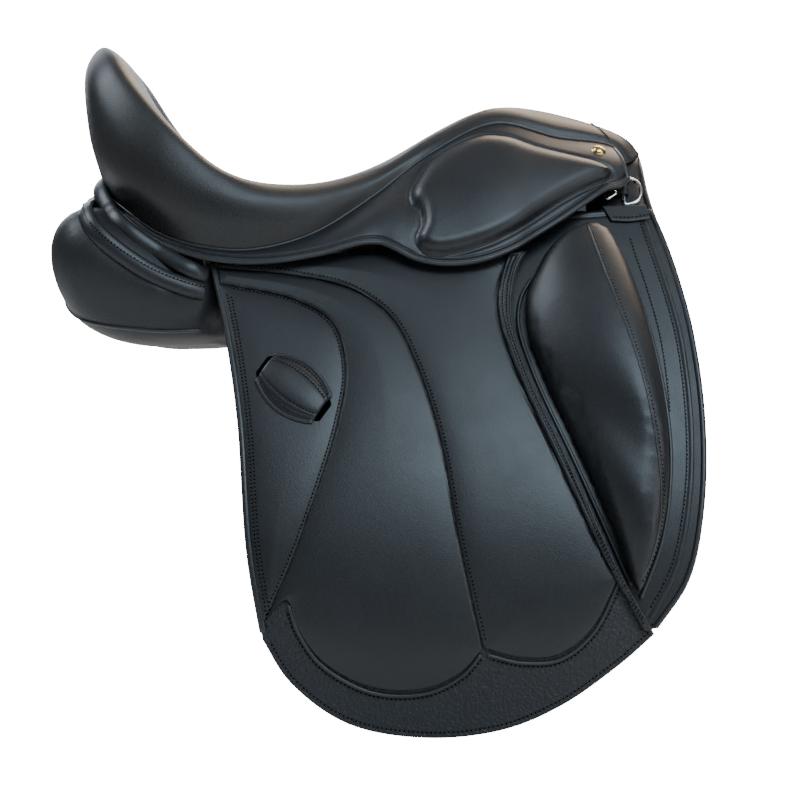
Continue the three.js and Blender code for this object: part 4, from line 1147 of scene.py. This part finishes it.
def rear_bands(panel):
    for name, track, radius, node_names in (("rear_band", BAND_LOW, 7.6, ("rear_gusset",)),
                                            ("rear_roll", BAND_HIGH, 7.0, ())):
        line = pushed_out(panel, Line(track).along(np.linspace(0, 1, 130)), radius * 0.3)
        line[0, 1] = 0
        out = unit(np.column_stack([-np.clip((-line[:, 0] - 150) / 100, 0, 1) ** 2 * 0.6,
                                    np.clip(line[:, 1] / 110, 0, 1), np.full(130, 0.35)]))
        shape = tube(line, radius, 20, normals=out, flat=0.5)
        made = pair(name, shape, [SMOOTH], *node_names)
        if name == "rear_band":
            row = line[3:] + np.array([0, 0, 2.0])
            rows = sewn(made[0], row, out[3:], Shape(), pitch=3.2)
            pair("rear_band_stitches", rows, [THREAD, HOLE_SHADE])
    count = int(np.argmin(abs(WELT.points[:, 0] + 146)))
    rows = [Line(WELT.points[:count:40] - (0, 0, 1)), Line(BAND_HIGH), Line(BAND_LOW)]
    rows = np.array([row.along(np.linspace(0, 1, 80)) for row in rows])
    rows[:, 0, 1] = 0
    rows += np.clip(rows[..., 1:2] / 110, 0, 1) * np.array([0, -5, 0])
    rows += np.clip(1 - rows[..., 1:2] / 110, 0, 1) * np.array([4, 0, 0])
    apron = slab(rows, rows + (2.0, -2.0, 0.6), FIRST_ROW, LAST_ROW)
    pair("rear_apron", apron, [SMOOTH])
    guess = [(-246, 50, 41), (-260, 64, 35), (-264, 90, 27), (-254, 108, 17), (-236, 124, 7),
             (-205, 136, -2), (-170, 138, -5), (-140, 138, -5)]
    tree = tree_of(panel)
    hits = [tree.find_nearest(Vector(p * MM)) for p in Line(guess).along(np.linspace(0, 1, 90))]
    line = np.array([tuple(hit[0]) for hit in hits]) / MM
    up = np.array([tuple(hit[1]) for hit in hits])
    settled(line, 6)
    seam = stitches(line + up * 0.3 + np.array([0, 0, 4.0]), up, Shape(), pitch=3.6, size=0.36)
    tube(line + up * 0.3, 1.5, 8, shape=seam, normals=up, taper=2)
    pair("panel_seam", seam, [PIPING, HOLE_SHADE], slot="panel_leather")


# ---------------------------------------------------------------- pommel
def pommel():
    """Facing of the arch, the cap that closes the head over it, and the piping along its edge."""
    line = Line([(221, 0, 163), (222.5, 28, 148), (225, 54, 121), (230.5, 76, 96), (235, 86, 80)])
    p = line.along(np.linspace(0, 1, 60))
    tangent = unit(np.gradient(p, axis=0))
    tangent[0] = (0, 1, 0)
    back = square_to(np.tile([-1.0, 0, -0.35], (60, 1)), tangent)
    up = unit(np.cross(tangent, back))
    up *= np.sign(up[:, 2:3])
    deep = 36 + 30 * np.linspace(0, 1, 60) ** 0.7
    width = deep[:, None] * eased(30, 0.6)[None]
    middle = p[:, None] + back[:, None] * width[..., None]
    thick = up[:, None] * (1.6 * quarter(width, 6) + 0.4)[..., None]
    outer, inner = middle + thick, middle - thick
    half = slab(outer, inner, FIRST_COLUMN, LAST_COLUMN, LAST_ROW)

    edge = Line([(186, 66, 108), (193, 58, 122), (202, 48, 137), (208, 41, 148), (215, 35, 154),
                 (220, 26, 158), (223, 13, 162), (223.5, 0, 163.5)]).along(np.linspace(0, 1, 60))
    rim = line.along(np.linspace(0.93, 0, 60))
    share = np.linspace(0, 1, 14)[:, None, None]
    bulge = 2.5 * np.sin(math.pi * np.linspace(0, 1, 14))[:, None, None] * np.array([0.7, 0.35, 0.5])
    cap = (1 - share) * edge[None] + share * rim[None] + bulge
    slab(cap, cap - np.array([1.1, 0.6, 1.2]), FIRST_ROW, LAST_ROW, FIRST_COLUMN, shape=half)
    whole = Shape()
    for part in (half, half.mirrored()):
        whole.add(np.vstack(part.points), part.faces)
    obj = build("pommel_leather", whole, [SMOOTH])
    place(obj, "pommel_facing")
    both = np.vstack([(p * (1, -1, 1))[::-1][:-1], p])
    rim = build("pommel_piping", tube(both + (0.6, 0, 0.6), 2.6, 12, taper=4), [PIPING])
    place(rim)


# ---------------------------------------------------------------- metal, straps and hidden parts
def revolved(profile, centre, axis, sides):
    """Turned piece: profile of (radius, height) about an axis through centre."""
    axis = unit(np.array(axis, float))
    first = unit(np.cross(axis, (0, 0, 1)))
    second = np.cross(axis, first)
    rings = [np.array(centre) + h * axis + r * circle(first, second, sides) for r, h in profile]
    return Shape().grid(np.array(rings), wrap=True)


def fittings(skirt):
    top, foot, reach = np.array((206, 54, 136.0)), np.array((206, 67, 113.0)), 15
    side = foot - top
    half = np.linalg.norm(side) / 2
    side = side / (2 * half)
    middle = (top + foot) / 2
    points = [middle + side * t * half for t in (-0.45, 0, 0.45)]
    for t in np.linspace(0, 1, 9):
        a = math.pi * (0.5 - t)
        bow = 1 + (reach - 1) * max(math.cos(a), 0) ** 0.8
        points.append(middle + side * half * math.sin(a) + np.array((bow, 0, 0)))
    line = Line(points, closed=True).along(np.linspace(0, 1, 121))[:-1]
    out = unit(np.cross(side, (1, 0, 0)))
    tangent = unit(np.roll(line, -1, axis=0) - np.roll(line, 1, axis=0))
    cross = unit(np.cross(tangent, out))
    angle = around(16)
    rings = (line[:, None] + 1.8 * (np.cos(angle)[None, :, None] * out
                                    + np.sin(angle)[None, :, None] * cross[:, None]))
    rings = np.vstack([rings, rings[:1]])
    pair("dee", Shape().grid(rings, wrap=True), [CHROME], "d_ring", body="{side}_ring",
         slot="chrome")

    clip = tube(np.linspace((190, 70, 117), (200, 66, 124), 12), 2.3, 12, flat=0.55,
                normals=np.tile([0.1, 0.8, 0.5], (12, 1)), taper=2)
    pair("dee_clip", clip, [CHROME], slot="chrome")

    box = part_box("saddle_nail_left")
    nail = np.array([(box[0][k] + box[1][k]) / 2 / MM for k in range(3)])
    axis = unit(np.array((0.12, 0.85, 0.5)))
    nail = laid(skirt, [nail], [axis], 1.2)[0]
    profile = [(0, -2.2), (5.6, -2.2), (6.1, -1.9), (6.2, -1.2), (5.9, -0.7), (5.2, -0.6), (4.9, -0.1),
               (4.2, 0.9), (3.0, 1.7), (1.5, 2.1), (0, 2.2)]
    pair("nail", revolved(profile, nail, axis, 40), [BRASS], "saddle_nail", slot="brass")


def refined(node_name, name, material, slot="smooth_leather", bevel=0.5, levels=1):
    """A CAD node's shape with rounded edges, as a piece of its own."""
    mesh = NODES[node_name].data.copy()
    obj = added(name, mesh)
    obj.matrix_world = NODES[node_name].matrix_world.copy()
    bm = bmesh.new()
    bm.from_mesh(mesh)
    bmesh.ops.remove_doubles(bm, verts=bm.verts, dist=0.00002)
    bmesh.ops.recalc_face_normals(bm, faces=bm.faces)
    bm.to_mesh(mesh)
    bm.free()
    mesh.materials.clear()
    mesh.materials.append(material)
    edge = obj.modifiers.new("edge", "BEVEL")
    edge.width = bevel * MM
    edge.segments = 2
    edge.limit_method = "ANGLE"
    edge.angle_limit = math.radians(40)
    if levels:
        soft = obj.modifiers.new("soft", "SUBSURF")
        soft.levels = soft.render_levels = levels
    applied(obj)
    return place(obj, node_name, slot=slot)


def girth_straps():
    for where, x in (("front", 58), ("rear", -14)):
        edges = {
            "top": [(x - 14, 56), (x, 56), (x + 14, 56)],
            "rear": [(x - 14, 56), (x - 14, -60), (x - 14, -176), (x - 12, -184), (x - 7, -190)],
            "front": [(x + 14, 56), (x + 14, -60), (x + 14, -176), (x + 12, -184), (x + 7, -190)],
            "bottom": [(x - 7, -190), (x, -191), (x + 7, -190)],
        }
        shape = leather_sheet(edges, 0.2, 2.8, 18, 90, rim=1.2, form=grooved((-0.35, 2.6, 0.7)))
        strap = build(f"girth_strap_{where}", shape, [SMOOTH])
        holes = Shape()
        for z in np.arange(-64, -170, -24.0):
            spot = on_barrel(x, z, 1.5)
            n = barrel_normal(np.float64(x), np.float64(z))
            holes.add(*round_peg(spot, n, 2.4, 6))
        tool = build("punch", holes, [SMOOTH], smooth=False)
        cut = strap.modifiers.new("holes", "BOOLEAN")
        cut.object = tool
        cut.operation = "DIFFERENCE"
        applied(strap)
        bpy.data.objects.remove(tool)
        twin = twin_of(strap, f"girth_strap_{where}_leather_right")
        strap.name = f"girth_strap_{where}_leather_left"
        for side, obj in (("left", strap), ("right", twin)):
            place(obj, f"girth_strap_{where}_{side}", body=f"{side}_{where}_strap")
        rows = Shape()
        for offset in (-11.4, 11.4):
            row = barrel_row([(x + offset, 50), (x + offset, -60), (x + offset, -172)], 3)
            sewn(strap, *row, rows, size=0.34)
        pair(f"girth_strap_{where}_stitches", rows, [THREAD, HOLE_SHADE],
             body="{side}_" + where + "_strap")


def round_peg(centre, axis, radius, half):
    first = unit(np.cross(axis, (1, 0, 0)))
    second = np.cross(axis, first)
    ring = radius * circle(first, second, 16)
    points = np.vstack([centre + ring - axis * half, centre + ring + axis * half])
    return points, quads(2, 16, True) + [tuple(range(16))[::-1], tuple(range(16, 32))]


TUCKING_PASSES = 8


def tucked(obj, surface, depth):
    """Moves vertices within depth of a surface back under it. One pass can bring a vertex near
    another part of the hollow, so there are several; a few stay out at the pinch in the leather."""
    for _ in range(TUCKING_PASSES):
        for v in obj.data.vertices:
            spot, normal, _, _ = surface.find_nearest(v.co)
            over = (v.co - spot).dot(normal) + depth * MM
            if over > 0:
                v.co -= normal * over


def hidden_parts(surface):
    for node_name, name in (("seat_web", "seat_webbing"), ("girth_web_front", "girth_webbing_front"),
                            ("girth_web_rear", "girth_webbing_rear")):
        refined(node_name, name, WEBBING, "webbing", 0.3)
    padding = refined("seat_foam", "seat_padding", FOAM, "seat_foam", 0.8, 0)
    finer = padding.modifiers.new("finer", "SUBSURF")
    finer.subdivision_type = "SIMPLE"
    finer.levels = finer.render_levels = 2
    applied(padding)
    tucked(padding, surface, 4.0)
    for side, _ in SIDES:
        refined(f"point_pocket_{side}", f"tree_pocket_{side}", SMOOTH)
        refined(f"ring_chape_{side}", f"dee_chape_{side}", SMOOTH, bevel=0.7)
    refined("cantle_facing", "cantle_leather", SMOOTH, bevel=0.7)
    finishes = {"tree_frame": WOOD, "head_plate": STEEL}
    for side, _ in SIDES:
        for part in ("spring_strip", "stirrup_bar", "bar_catch", "catch_pin", "bar_rivet"):
            finishes[f"{part}_{side}"] = STEEL
    for name, material in finishes.items():
        for slot in NODES[name].material_slots:
            slot.material = material


# ---------------------------------------------------------------- assembly
camera()
world()
floor()
softbox("key", (1.0, -2.4, 2.3), (0, -0.1, -0.05), (2.3, 1.5), 80, (0.68, 0.86, 1.0))
softbox("front", (2.3, -1.7, 0.6), (0.05, -0.1, -0.05), (0.9, 1.6), 13, (0.90, 0.93, 1.0))
softbox("left", (-1.8, 0.0, 2.2), (-0.15, -0.05, 0.0), (1.6, 1.2), 42, (0.78, 0.89, 1.0))
softbox("warm", (0.9, 1.4, 2.1), (-0.05, 0, 0.1), (2.0, 1.4), 58, (1.0, 0.80, 0.62))
softbox("back", (-0.6, 2.6, 1.2), (0, 0.1, -0.05), (2.2, 1.4), 34, (0.82, 0.91, 1.0))
surface = seat()
skirt = skirts()
keeper(flaps())
under_flaps()
knee_blocks()
rear_bands(panels())
pommel()
fittings(skirt)
girth_straps()
hidden_parts(surface)
